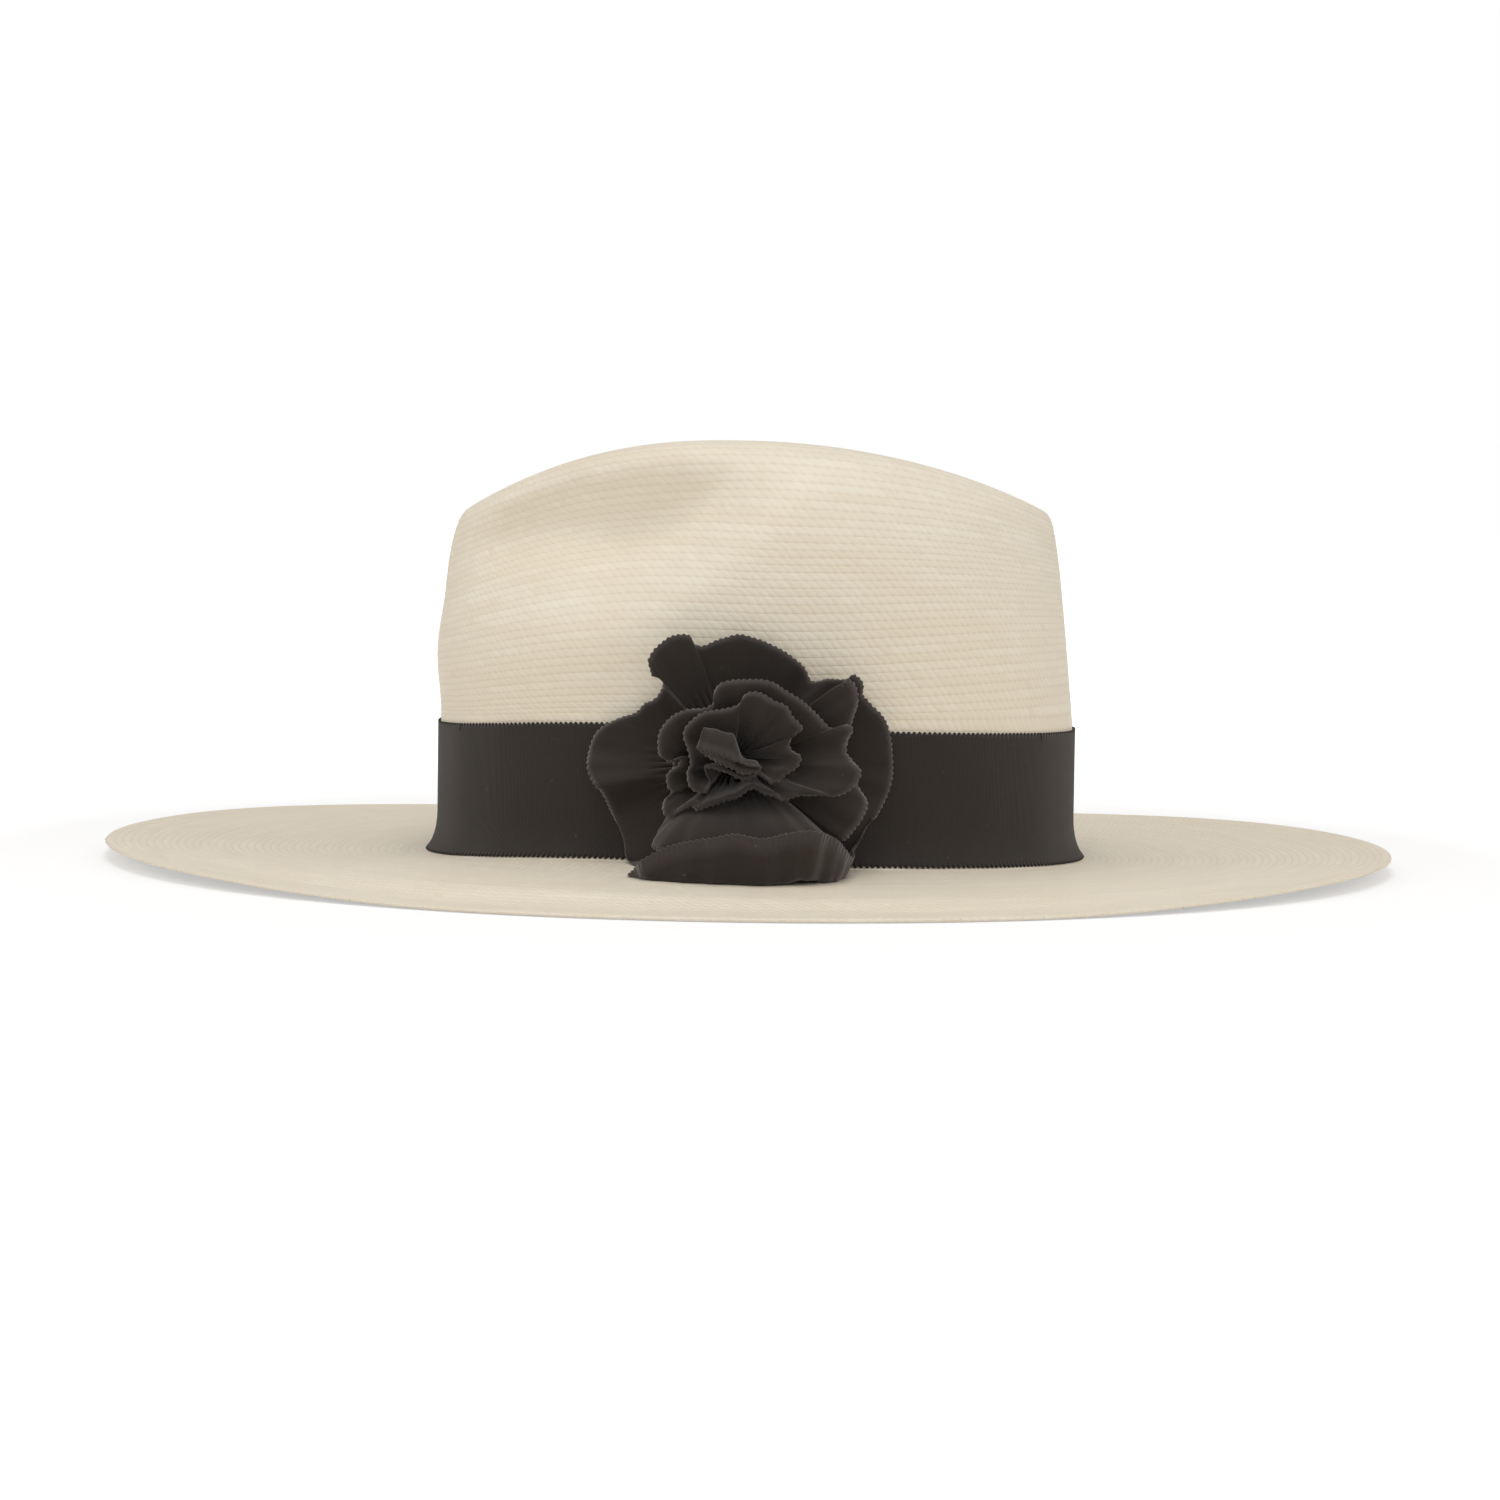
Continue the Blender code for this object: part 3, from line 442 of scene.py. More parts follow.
def top_point(angle, share):
    ridge_x, ridge_y = ridge_plan(angle)
    x, y = ridge_x * share, ridge_y * share
    reach = np.where(x > 0, RIDGE_BACK, RIDGE_FRONT)
    local = ridge_half_width(np.arccos(np.clip(x / reach, -1, 1)))
    across = np.minimum(1, np.abs(y) / np.maximum(local, 1e-9))
    crease = CREASE_DEPTH * np.clip(1 - (x / reach) ** 2, 0, None) ** CREASE_POWER
    z = ridge_height(x) - crease * np.cos(np.pi / 2 * across) ** 2
    return dented(CROWN_SETBACK + x, y, z)


def straw_ring(angle, station):
    """One ring of the straw's inner face: station 0 is the rim, 1 the break, 2 the fillet's top, 3 the
    top of the straight wall, 4 the ridge and 5 the middle of the crease."""
    if station <= 1:
        return brim_point(angle, 1 - station)
    if station <= 2:
        out, up = fillet(math.pi / 2 * (2 - station), 0)
        return oval(angle, out, break_height(angle) + up)
    if station <= 3:
        up = BREAK_FILLET_UP + (WALL_HEIGHT - BREAK_FILLET_UP) * (station - 2)
        return oval(angle, 0, break_height(angle) + up)
    if station <= 4:
        return wall_point(angle, math.pi / 2 * (station - 3))
    return top_point(angle, 5 - station)


def rosette_point(right, up, out):
    x = CROWN_SETBACK - ROSETTE_AHEAD + right
    half_length = STRAW_HALF_LENGTH + SEAT_OFFSET
    half_width = STRAW_HALF_WIDTH + SEAT_OFFSET
    y = -half_width * np.sqrt(1 - ((x - CROWN_SETBACK) / half_length) ** 2) - out
    z = BREAK_SIDE_RISE + ROSETTE_ABOVE_BREAK + up
    return np.stack([x, y, z], -1)


def lengths_along(points):
    """The way from the first point of a line to each of its points."""
    return np.concatenate([[0], np.cumsum(np.linalg.norm(np.diff(points, axis=0), axis=1))])


def closed_spline(points):
    """A smooth closed line through the points, as close points on it."""
    knots = np.array(points, float)
    before, after, second = np.roll(knots, 1, 0), np.roll(knots, -1, 0), np.roll(knots, -2, 0)
    dense = []
    for step in range(SPLINE_STEPS):
        t = step / SPLINE_STEPS
        dense.append(
            knots
            + t / 2 * (after - before)
            + t**2 * (before - 2.5 * knots + 2 * after - second / 2)
            + t**3 * (1.5 * (knots - after) + (second - before) / 2)
        )
    dense = np.stack(dense, 1).reshape(-1, 3)
    return np.vstack([dense, dense[:1]])


def evenly_along(points, count):
    lengths = lengths_along(points)
    wanted = np.linspace(0, lengths[-1], count, endpoint=False)
    return np.stack([np.interp(wanted, lengths, points[:, i]) for i in range(3)], 1)


def soft_waves(seed, angles, depth, counts):
    """Small waves round the hat: sines of these counts, with chance depths and starts."""
    rng = np.random.default_rng(seed)
    return sum(rng.uniform(*depth) * np.sin(angles * k + rng.uniform(0, 6)) for k in counts)


def gather_angles(edge, centre):
    own = np.unwrap(np.arctan2(edge[:, 1] - centre[1], edge[:, 0] - centre[0]))
    sense = np.sign(own[-1] - own[0])
    round_once = np.append(own, own[0] + sense * 2 * math.pi)
    steps = np.maximum(sense * np.diff(round_once), GATHER_LEAST_STEP * 2 * math.pi / len(own))
    steps *= 2 * math.pi / steps.sum()
    angles = sense * (np.cumsum(steps) - steps)
    return angles + (own - angles).mean()


def smoothed(edge, width):
    """A closed edge with its waves shorter than this share of its length taken out."""
    waves = np.fft.fftfreq(len(edge), 1 / len(edge))
    keep = np.exp(-0.5 * (waves * width) ** 2)[:, None]
    return np.fft.ifft(np.fft.fft(edge, axis=0) * keep, axis=0).real


# Meshes

def grid_normals(rows, closed):
    """Unit normals of a grid of points, rows first, closed round each row if told."""
    if closed:
        around = np.roll(rows, -1, 1) - np.roll(rows, 1, 1)
    else:
        around = np.gradient(rows, axis=1)
    along = np.gradient(rows, axis=0)
    normals = np.cross(around, along)
    return normals / np.maximum(np.linalg.norm(normals, axis=-1, keepdims=True), 1e-12)


def add_mesh(name, points, faces, material, uvs=None):
    mesh = bpy.data.meshes.new(name)
    mesh.from_pydata(points.tolist(), [], faces)
    if uvs is not None:
        layer = mesh.uv_layers.new(name="UVMap")
        layer.data.foreach_set("uv", np.asarray(uvs, np.float32).ravel())
    mesh.shade_smooth()
    mesh.materials.append(material)
    obj = bpy.data.objects.new(name, mesh)
    bpy.context.scene.collection.objects.link(obj)
    return obj


def add_grid(name, rows, material, closed=True, uv_rows=None):
    """A sheet through rows of points. uv_rows gives (u, v) for each row's points, one more than the row
    holds where it is closed."""
    count, width = rows.shape[:2]
    index = np.arange(count * width).reshape(count, width)
    if closed:
        index = np.hstack([index, index[:, :1]])
    faces = np.stack([index[:-1, :-1], index[:-1, 1:], index[1:, 1:], index[1:, :-1]], -1).reshape(-1, 4)
    uvs = None
    if uv_rows is not None:
        uvs = np.stack([uv_rows[:-1, :-1], uv_rows[:-1, 1:], uv_rows[1:, 1:], uv_rows[1:, :-1]], 2)
    return add_mesh(name, rows.reshape(-1, 3), faces.tolist(), material, uvs)


def uv_grid(along, across):
    """(u, v) of a grid's points, from u along its rows and v across them."""
    return np.stack(np.broadcast_arrays(along[None, :], across[:, None]), -1)


def solidify(obj, thickness, offset):
    solid = obj.modifiers.new("thickness", "SOLIDIFY")
    solid.thickness = thickness
    solid.offset = offset
    solid.use_even_offset = False
    return obj


# Materials

class Nodes:
    """A material's node tree, with short calls to add and link nodes."""

    def __init__(self, name):
        self.material = bpy.data.materials.new(name)
        self.material.use_nodes = True
        self.tree = self.material.node_tree
        self.shader = self.tree.nodes["Principled BSDF"]

    def add(self, kind, **settings):
        node = self.tree.nodes.new(kind)
        for key, value in settings.items():
            setattr(node, key, value)
        return node

    def put(self, value, socket):
        if isinstance(value, bpy.types.NodeSocket):
            self.tree.links.new(value, socket)
        else:
            socket.default_value = value

    def set(self, **values):
        for key, value in values.items():
            self.put(value, self.shader.inputs[key.replace("_", " ")])

    def math(self, operation, a, b=0.0):
        node = self.add("ShaderNodeMath", operation=operation)
        self.put(a, node.inputs[0])
        self.put(b, node.inputs[1])
        return node.outputs[0]

    def hump(self, value, power):
        """A rounded ridge over each whole step of a value, 1 in its middle and 0 at its ends."""
        doubled = self.math("MULTIPLY", self.math("FRACT", value), 2.0)
        from_middle = self.math("ABSOLUTE", self.math("SUBTRACT", doubled, 1.0))
        return self.math("SUBTRACT", 1.0, self.math("POWER", from_middle, power))

    def mix(self, factor, a, b):
        node = self.add("ShaderNodeMix", data_type="RGBA")
        self.put(factor, node.inputs[0])
        self.put(a, node.inputs[6])
        self.put(b, node.inputs[7])
        return node.outputs[2]

    def spread(self, value, low, high, to_low, to_high):
        node = self.add("ShaderNodeMapRange")
        for socket, number in zip(node.inputs[1:5], (low, high, to_low, to_high)):
            socket.default_value = number
        self.put(value, node.inputs[0])
        return node.outputs[0]

    def place(self):
        return self.add("ShaderNodeTexCoord").outputs["Object"]

    def noise(self, scale, detail, vector=None):
        """Chance values in soft patches, so many to a metre where no vector is given."""
        node = self.add("ShaderNodeTexNoise")
        node.inputs["Scale"].default_value = scale
        node.inputs["Detail"].default_value = detail
        self.put(vector if vector is not None else self.place(), node.inputs["Vector"])
        return node.outputs["Fac"]

    def split(self, vector):
        node = self.add("ShaderNodeSeparateXYZ")
        self.put(vector, node.inputs[0])
        return node.outputs[0], node.outputs[1], node.outputs[2]

    def join(self, x, y):
        node = self.add("ShaderNodeCombineXYZ")
        self.put(x, node.inputs[0])
        self.put(y, node.inputs[1])
        return node.outputs[0]

    def uv(self):
        return self.split(self.add("ShaderNodeUVMap", uv_map="UVMap").outputs[0])[:2]

    def bump(self, height, distance, strength):
        node = self.add("ShaderNodeBump")
        node.inputs["Strength"].default_value = strength
        node.inputs["Distance"].default_value = distance
        self.put(height, node.inputs["Height"])
        return node.outputs[0]


def colour(red, green, blue):
    """A colour written as it looks on screen, from 0 to 255."""
    linear = []
    for value in (red, green, blue):
        value /= 255
        linear.append(value / 12.92 if value <= 0.04045 else ((value + 0.055) / 1.055) ** 2.4)
    return (*linear, 1)


# Tones are a dark and a light colour
STRAND_TONES = (colour(238, 229, 211), colour(243, 235, 219))
STRAND_TAN = colour(218, 196, 160)
STRAW_ROW = colour(234, 222, 201)
STRAW_PATCH = colour(233, 216, 188)
# Painted shade: the darker colour the straw takes in the grooves between strands and rows
STRAW_GAP_SHADE = colour(200, 176, 138)
STUB_TONES = (colour(196, 174, 138), colour(226, 211, 182))
BAND_TONES = (colour(49, 44, 41), colour(55, 50, 47))
ROSETTE_TONES = (colour(48, 42, 38), colour(54, 48, 43))
# Painted highlight: the paler colour along a ruffle's free edge, where the edge catches light
ROSETTE_EDGE_HIGHLIGHT = colour(66, 60, 57)
# Painted shade: the dark colour in the troughs between the grosgrain's ribs
RIB_GROOVE_SHADE = colour(20, 18, 17)
LINT = colour(120, 112, 104)
LEATHER_TONES = (colour(170, 122, 78), colour(198, 152, 104))
LEATHER_PORE = colour(120, 80, 48)
BLACK_THREAD_TONES = (colour(24, 23, 23), colour(58, 54, 52))
TAN_THREAD_TONES = (colour(150, 122, 84), colour(214, 192, 152))
FELT_TONES = (colour(26, 25, 25), colour(52, 48, 46))
REED_TONES = (colour(168, 128, 88), colour(196, 158, 116))
RIBBON_ROUGHNESS = (0.75, 0.87)
THREAD_TWIST = 14000.0


def straw_material():
    """Rows crossed by strands that all lean the same way. The UV's u counts strands and v counts rows."""
    n = Nodes("woven_straw")
    u, v = n.uv()
    row = n.math("FLOOR", v)
    wobble = n.spread(n.noise(170, 2.0), 0.3, 0.7, -0.22, 0.22)
    strand = n.math("ADD", n.math("ADD", u, n.math("MULTIPLY", v, WEAVE_LEAN)), wobble)
    round_strand = n.math("MULTIPLY", n.hump(strand, 1.8), 0.46)
    round_row = n.math("MULTIPLY", n.hump(v, 3.0), 0.62)
    height = n.math("ADD", round_strand, round_row)
    white_noise = n.add("ShaderNodeTexWhiteNoise", noise_dimensions="2D")
    n.put(n.join(n.math("FLOOR", strand), row), white_noise.inputs["Vector"])
    chance = white_noise.outputs["Value"]
    along_row = n.join(n.math("MULTIPLY", u, 0.08), n.math("MULTIPLY", row, 7.3))
    row_share = n.spread(n.noise(1.0, 1.0, along_row), 0.3, 0.7, 0.1, 0.75)
    patch_share = n.spread(n.noise(14, 3.0), 0.3, 0.7, 0.0, 0.22)
    tone = n.mix(chance, *STRAND_TONES)
    tone = n.mix(n.spread(chance, 0.97, 1.0, 0.0, 0.35), tone, STRAND_TAN)
    tone = n.mix(row_share, tone, STRAW_ROW)
    tone = n.mix(patch_share, tone, STRAW_PATCH)
    # Painted shade: darker where the weave's height is low, in the grooves between strands and rows
    tone = n.mix(n.spread(height, 0.1, 0.8, 0.25, 0.0), tone, STRAW_GAP_SHADE)
    n.set(Base_Color=tone, Roughness=n.spread(chance, 0, 1, 0.46, 0.6))
    n.set(Specular_IOR_Level=0.45, Sheen_Weight=0.05)
    n.set(Normal=n.bump(height, 0.4 * MM, 0.42))
    return n.material


def straw_end_material():
    n = Nodes("straw_ends")
    share = n.spread(n.noise(900, 1.0), 0.35, 0.65, 0, 1)
    n.set(Base_Color=n.mix(share, *STUB_TONES), Roughness=0.7)
    n.set(Normal=n.bump(n.noise(2200, 2.0), 0.1 * MM, 0.5))
    return n.material


def ribbon_material(name, tones, sheen, sheen_tint, rib_shade, relief, edge_highlight=None):
    """Grosgrain: fine ribs across the ribbon with painted shade between them, a dry sheen and a few specks
    of lint. The UV's u counts picots, and v counts up to a ruffle's free edge, where a painted highlight
    makes the cloth paler."""
    n = Nodes(name)
    u, v = n.uv()
    rib = n.math("SINE", n.math("MULTIPLY", u, 2 * math.pi * RIBS_PER_PICOT))
    rib = n.spread(rib, -1, 1, 0, 1)
    height = n.math("ADD", rib, n.math("MULTIPLY", n.noise(1400, 2.0), 0.5))
    soft = n.spread(n.noise(45, 3.0), 0.3, 0.7, 0, 1)
    tone = n.mix(soft, *tones)
    # Painted highlight: a paler band along a ruffle's free edge
    if edge_highlight is not None:
        near_edge = n.spread(v, FREE_EDGE_V - 1.2, FREE_EDGE_V - 0.5, 0.0, 1.0)
        tone = n.mix(near_edge, tone, edge_highlight)
    # Painted shade in the troughs between the ribs, as strong as rib_shade sets
    tone = n.mix(n.spread(rib, 0.0, 0.5, rib_shade, 0.0), tone, RIB_GROOVE_SHADE)
    tone = n.mix(n.spread(n.noise(620, 1.0), 0.77, 0.81, 0.0, 0.3), tone, LINT)
    n.set(Base_Color=tone, Roughness=n.spread(soft, 0, 1, *RIBBON_ROUGHNESS))
    n.set(Specular_IOR_Level=0.2, Sheen_Weight=sheen, Sheen_Roughness=0.45, Sheen_Tint=sheen_tint)
    n.set(Normal=n.bump(height, 0.12 * MM, relief))
    return n.material


def leather_material():
    n = Nodes("sweatband_leather")
    cells = n.add("ShaderNodeTexVoronoi", feature="DISTANCE_TO_EDGE")
    cells.inputs["Scale"].default_value = 900
    n.put(n.place(), cells.inputs["Vector"])
    grain = n.spread(cells.outputs["Distance"], 0.0, 0.18, 0, 1)
    age = n.spread(n.noise(24, 4.0), 0.3, 0.7, 0, 1)
    tone = n.mix(n.spread(grain, 0, 1, 0.25, 0), n.mix(age, *LEATHER_TONES), LEATHER_PORE)
    n.set(Base_Color=tone, Roughness=n.spread(age, 0, 1, 0.42, 0.58), Specular_IOR_Level=0.4)
    n.set(Normal=n.bump(n.math("ADD", grain, n.noise(260, 3.0)), 0.2 * MM, 0.45))
    return n.material


def thread_material(name, tones):
    """Twisted sewing thread."""
    n = Nodes(name)
    x, y, z = n.split(n.place())
    slanting = n.math("MULTIPLY", n.math("ADD", n.math("ADD", x, y), z), THREAD_TWIST)
    twist = n.spread(n.math("SINE", slanting), -1, 1, 0, 1)
    n.set(Base_Color=n.mix(twist, *tones), Roughness=0.65, Sheen_Weight=0.2)
    n.set(Normal=n.bump(twist, 0.08 * MM, 0.6))
    return n.material


def felt_material():
    n = Nodes("backing_felt")
    fibres = n.noise(1800, 4.0)
    n.set(Base_Color=n.mix(fibres, *FELT_TONES), Roughness=0.9, Sheen_Weight=0.3)
    n.set(Normal=n.bump(fibres, 0.3 * MM, 0.5))
    return n.material


def reed_material():
    n = Nodes("covered_reed")
    grain = n.noise(700, 3.0)
    n.set(Base_Color=n.mix(grain, *REED_TONES), Roughness=0.5)
    n.set(Normal=n.bump(grain, 0.1 * MM, 0.4))
    return n.material


# Pieces

def weave_stations(angles):
    """Stations of the boundaries and middles of the weave's rows, evenly spaced along the straw on
    average."""
    stations = np.linspace(0, 5, WEAVE_SAMPLES)
    rings = np.stack([straw_ring(angles, s) for s in stations])
    steps = np.linalg.norm(np.diff(rings, axis=0), axis=-1).mean(1)
    lengths = np.concatenate([[0], np.cumsum(steps)])
    rows = int(round(lengths[-1] / WEAVE_ROW))
    return np.interp(np.linspace(0, lengths[-1], 2 * rows + 1), lengths, stations)


def make_straw(material):
    """Brim and crown: outer face in rows of raised weave, a rounded rim, and the inner face."""
    angles = np.linspace(0, 2 * math.pi, WEAVE_AROUND, endpoint=False)
    stations = weave_stations(angles)
    last = len(stations) - 1
    rings = np.stack([straw_ring(angles, s) for s in stations])
    normals = grid_normals(rings, True)
    normals[-1] = UPWARDS
    relief = np.where(np.arange(last + 1) % 2 == 1, WEAVE_RELIEF, -WEAVE_RELIEF)[:, None, None]
    outer = rings + normals * (STRAW_THICKNESS + relief)
    inner = rings - normals * relief * WEAVE_INNER_RELIEF
    outwards = np.stack([np.cos(angles), np.sin(angles), 0 * angles], -1)
    half = STRAW_THICKNESS / 2
    rim = []
    for turn in RIM_TURNS:
        bulge, lift = half * math.sin(math.pi * turn), half * math.cos(math.pi * turn)
        rim.append(rings[0] + outwards * bulge + UPWARDS * (half + lift))
    sheet = np.concatenate([outer[::-1], np.stack(rim), inner])
    count, width = sheet.shape[:2]
    index = np.arange(count * width).reshape(count, width)
    index = np.hstack([index, index[:, :1]])
    half_rows = np.arange(last + 1) / 2
    row_of = np.concatenate([half_rows[::-1], -np.array(RIM_TURNS) / 2, -0.5 - half_rows]) + WEAVE_RIM_ROW
    share = np.linspace(0, 1, width + 1) - WEAVE_SEAM
    faces, uvs = [], []
    for i in range(count - 1):
        # Both halves of a row of the outer face have as many strokes
        if i % 2 == 0 or i >= last:
            ring = (sheet[i] + sheet[i + 1]) / 2
            around = np.linalg.norm(np.roll(ring, -1, 0) - ring, axis=1).sum()
            strokes = max(WEAVE_LEAST_STROKES, round(around / WEAVE_STROKE))
        start, end = share[:-1] * strokes, share[1:] * strokes
        top = np.full(width, row_of[i] - WEAVE_ROW_INSET)
        low = np.full(width, row_of[i + 1] + WEAVE_ROW_INSET)
        uvs.append(np.array([(start, top), (start, low), (end, low), (end, top)]).transpose(2, 0, 1))
        faces.append(np.stack([index[i, :-1], index[i + 1, :-1], index[i + 1, 1:], index[i, 1:]], -1))
    obj = add_mesh("straw_hat", sheet.reshape(-1, 3), np.concatenate(faces).tolist(), material,
                   np.concatenate(uvs))
    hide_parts("straw_body")
    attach(obj, "root")


def make_straw_ends(material):
    """Trimmed ends of the straw where the rim is woven back, as small stubs along the edge."""
    rng = np.random.default_rng(STUB_SEED)
    points, faces = [], []
    for angle in np.sort(rng.uniform(0, 2 * math.pi, STUB_COUNT)):
        base = brim_point(np.array(angle), 1 - rng.uniform(0, STUB_INSET)) + UPWARDS * STRAW_THICKNESS / 2
        tangent = np.array([-math.sin(angle), math.cos(angle), 0])
        outward = np.array([math.cos(angle), math.sin(angle), 0])
        way = outward * rng.uniform(*STUB_OUT) + tangent * rng.uniform(*STUB_ASIDE)
        way /= np.linalg.norm(way)
        side = np.cross(UPWARDS, way)
        length, radius = rng.uniform(*STUB_LENGTH), rng.uniform(*STUB_RADIUS)
        way = way + UPWARDS * rng.uniform(*STUB_RISE)
        low = len(points)
        high = low + STUB_SIDES
        for end in (0.0, length):
            for k in range(STUB_SIDES):
                turn = 2 * math.pi * k / STUB_SIDES
                points.append(base + way * end + (side * math.cos(turn) + UPWARDS * math.sin(turn)) * radius)
        for k in range(STUB_SIDES):
            j = (k + 1) % STUB_SIDES
            faces.append([low + k, low + j, high + j, high + k])
        faces.append([high + k for k in range(STUB_SIDES)])
        faces.append([low + k for k in reversed(range(STUB_SIDES))])
    obj = add_mesh("straw_rim_ends", np.array(points), faces, material)
    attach(obj, "root")


def scallop(count):
    """Reach of the picot loops along an edge, PICOT_STEPS to a loop."""
    return np.sin(np.pi * np.arange(count) / PICOT_STEPS) ** 2


def make_hat_ribbon(material):
    """The ribbon once round the crown: its foot follows the break, and its end steps over its start."""
    half_length = STRAW_HALF_LENGTH + RIBBON_OFFSET
    half_width = STRAW_HALF_WIDTH + RIBBON_OFFSET
    middle = -math.pi / 2 - ROSETTE_AHEAD / half_length
    lap, ramp = RIBBON_LAP / half_length, RIBBON_LAP_RAMP / half_length
    start, end = middle - lap / 2, middle + 2 * math.pi + lap / 2
    lifted = end - lap - CLEARANCE / half_width
    dense = np.linspace(start, end, RIBBON_SAMPLES)
    lengths = lengths_along(oval(dense, RIBBON_OFFSET, 0))
    picots = int(round(lengths[-1] / PICOT_PITCH))
    columns = picots * PICOT_STEPS + 1
    angles = np.interp(np.linspace(0, lengths[-1], columns), lengths, dense)
    step = LAP_STEP * smoothstep(lifted - ramp, lifted, angles)
    turns = RIBBON_FOOT_ANGLE * np.linspace(1, 0, RIBBON_FOOT_STEPS + 1)
    profile = [fillet(turn, RIBBON_OFFSET) for turn in turns]
    foot, shoulder = profile[0][1], profile[-1][1]
    wall = foot + RIBBON_HEIGHT - shoulder
    profile += [(RIBBON_OFFSET, shoulder + wall * share) for share in RIBBON_WALL_SHARES]
    profile = np.array(profile)
    slopes = np.gradient(profile, axis=0)
    slopes /= np.linalg.norm(slopes, axis=1, keepdims=True)
    reach = scallop(columns) * PICOT_REACH
    waves = soft_waves(RIBBON_WAVE_SEED, angles, RIBBON_WAVE_DEPTH, RIBBON_WAVE_COUNTS)
    last = len(profile) - 1
    rows = []
    for i, (out, up) in enumerate(profile):
        beyond = reach * ((i == last) - (i == 0))
        wave = waves * (RIBBON_TOP_WAVE if i == last else 1) + RIBBON_EASE
        rows.append(oval(angles, out + step + slopes[i, 0] * beyond + wave,
                         break_height(angles) + up + slopes[i, 1] * beyond))
    heights = lengths_along(profile)
    uv = uv_grid(np.linspace(0, picots, columns), heights / PICOT_PITCH)
    obj = solidify(add_grid("ribbon_band", np.stack(rows), material, False, uv), RIBBON_SHEET, 1)
    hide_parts("hat_ribbon")
    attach(obj, "root")


def ruffle_bow(shape, angles, share):
    """How far up and out a ruffle bows at this share of its way from the gathers to its free edge."""
    up, out, power, all_round = shape["bow"]
    side = np.maximum(all_round, smoothstep(*BOW_COSINES, np.cos(angles - BOW_SIDE)))
    size = MM * side * math.sin(math.pi * share**power)
    taper = 1 - shape.get("taper", 0) * np.clip(np.cos(angles), 0, None)
    return up * size * taper, out * size


def make_ruffle(name, shape, material):
    """A ribbon gathered in small pleats to a ring, its free edge in waves with a turned lip and picots.
    Gives the piece and its flat size."""
    spline = closed_spline(shape["edge"])
    length = lengths_along(spline)[-1] * MM
    picots = int(round(length / PICOT_PITCH))
    count = picots * PICOT_STEPS
    edge = evenly_along(spline, count) * MM
    centre = np.array(shape["centre"]) * MM
    foot = BACKING_THICKNESS + CLEARANCE + THREAD_RADIUS + RUFFLE_THICKNESS / 2
    angles = gather_angles(edge, centre)
    foot_right = centre[0] + shape["gather_radius"] * np.cos(angles)
    foot_up = centre[1] + shape["gather_radius"] * np.sin(angles)
    shares = np.linspace(0, 1, RUFFLE_FINE_ROWS) ** RUFFLE_ROW_POWER
    smooth = smoothed(edge, FOLD_LENGTH / length)
    rows = []
    for share in shares:
        spread = share ** shape["flare"]
        rise = 1 - (1 - share) ** shape["rise"]
        fold = (edge - smooth) * share**FOLD_GROWTH
        bow_up, bow_out = ruffle_bow(shape, angles, share)
        rows.append(rosette_point(
            foot_right + (smooth[:, 0] - foot_right) * spread + fold[:, 0],
            foot_up + (smooth[:, 1] - foot_up) * spread + fold[:, 1] + bow_up,
            foot + (smooth[:, 2] - foot) * rise + fold[:, 2] + bow_out))
    rows = np.stack(rows)
    normals = grid_normals(rows, True)
    axis = rosette_point(centre[0], centre[1], 0.0)
    inwards = (axis - rows)[..., [0, 2]]
    normals *= np.sign((normals[..., [0, 2]] * inwards).sum())
    part = 2 * math.pi * np.arange(count) / count
    gathers = round(length / GATHER_LENGTH)
    pleat = np.sin(gathers * part + sum(size * np.sin(times * part) for size, times in PLEAT_DRIFTS))
    around = np.linalg.norm(np.roll(rows, -1, 1) - rows, axis=-1).sum(1)
    spare = np.sqrt(np.clip((length / around) ** 2 - 1, 0, None))
    depth = PLEAT_FULLNESS * around / gathers / 4 * spare * (1 - shares) ** shape["fade"]
    waves = max(FLUTTER_LEAST, round(length / FLUTTER_LENGTH))
    drift, drift_times = FLUTTER_DRIFT
    second, second_times, second_start = FLUTTER_SECOND
    flutter = np.sin(waves * part + drift * np.sin(drift_times * part))
    flutter += second * np.sin(int(second_times * waves) * part + second_start)
    lift = FLUTTER_DEPTH * shares**2
    lip = -LIP_DEPTH * np.clip((shares - LIP_START) / (1 - LIP_START), 0, 1) ** 2
    offsets = pleat[None, :] * depth[:, None] + flutter[None, :] * lift[:, None] + lip[:, None]
    rows = rows + normals * offsets[..., None]
    way = rows[-1] - rows[-2]
    way /= np.linalg.norm(way, axis=1, keepdims=True)
    rows[-1] += way * (scallop(count) * RUFFLE_PICOT_REACH)[:, None]
    seat = brim_top_under(rows[..., 0], rows[..., 1]) + CLEARANCE + RUFFLE_SHEET / 2
    rows[..., 2] = np.maximum(rows[..., 2], seat)
    uv = uv_grid(np.linspace(0, picots, count + 1), shares * FREE_EDGE_V)
    obj = solidify(add_grid(name + "_cloth", rows, material, True, uv), RUFFLE_SHEET, 0)
    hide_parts(name)
    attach(obj, "root")
    width = np.linalg.norm(np.diff(rows, axis=0), axis=-1).sum(0).mean()
    return obj, (float(width), float(length))


def make_sweatband(leather):
    gap = SWEATBAND_BUTT_GAP / (2 * HEAD_HALF_WIDTH)
    angles = np.linspace(gap, 2 * math.pi - gap, SWEATBAND_COLUMNS)
    ups = SWEATBAND_FOOT + SWEATBAND_HEIGHT * np.array(SWEATBAND_ROW_SHARES)
    waves = np.abs(soft_waves(SWEATBAND_WAVE_SEED, angles, SWEATBAND_WAVE_DEPTH, SWEATBAND_WAVE_COUNTS))
    rows = np.stack([oval(angles, HEAD_FACE - waves, break_height(angles) + up) for up in ups])
    obj = solidify(add_grid("sweatband_strip", rows, leather, False), SWEATBAND_SHEET, 1)
    soft_edge = obj.modifiers.new("soft_edges", "BEVEL")
    soft_edge.width = SWEATBAND_EDGE
    soft_edge.segments = 2
    soft_edge.limit_method = "ANGLE"
    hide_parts("sweatband")
    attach(obj, "root")


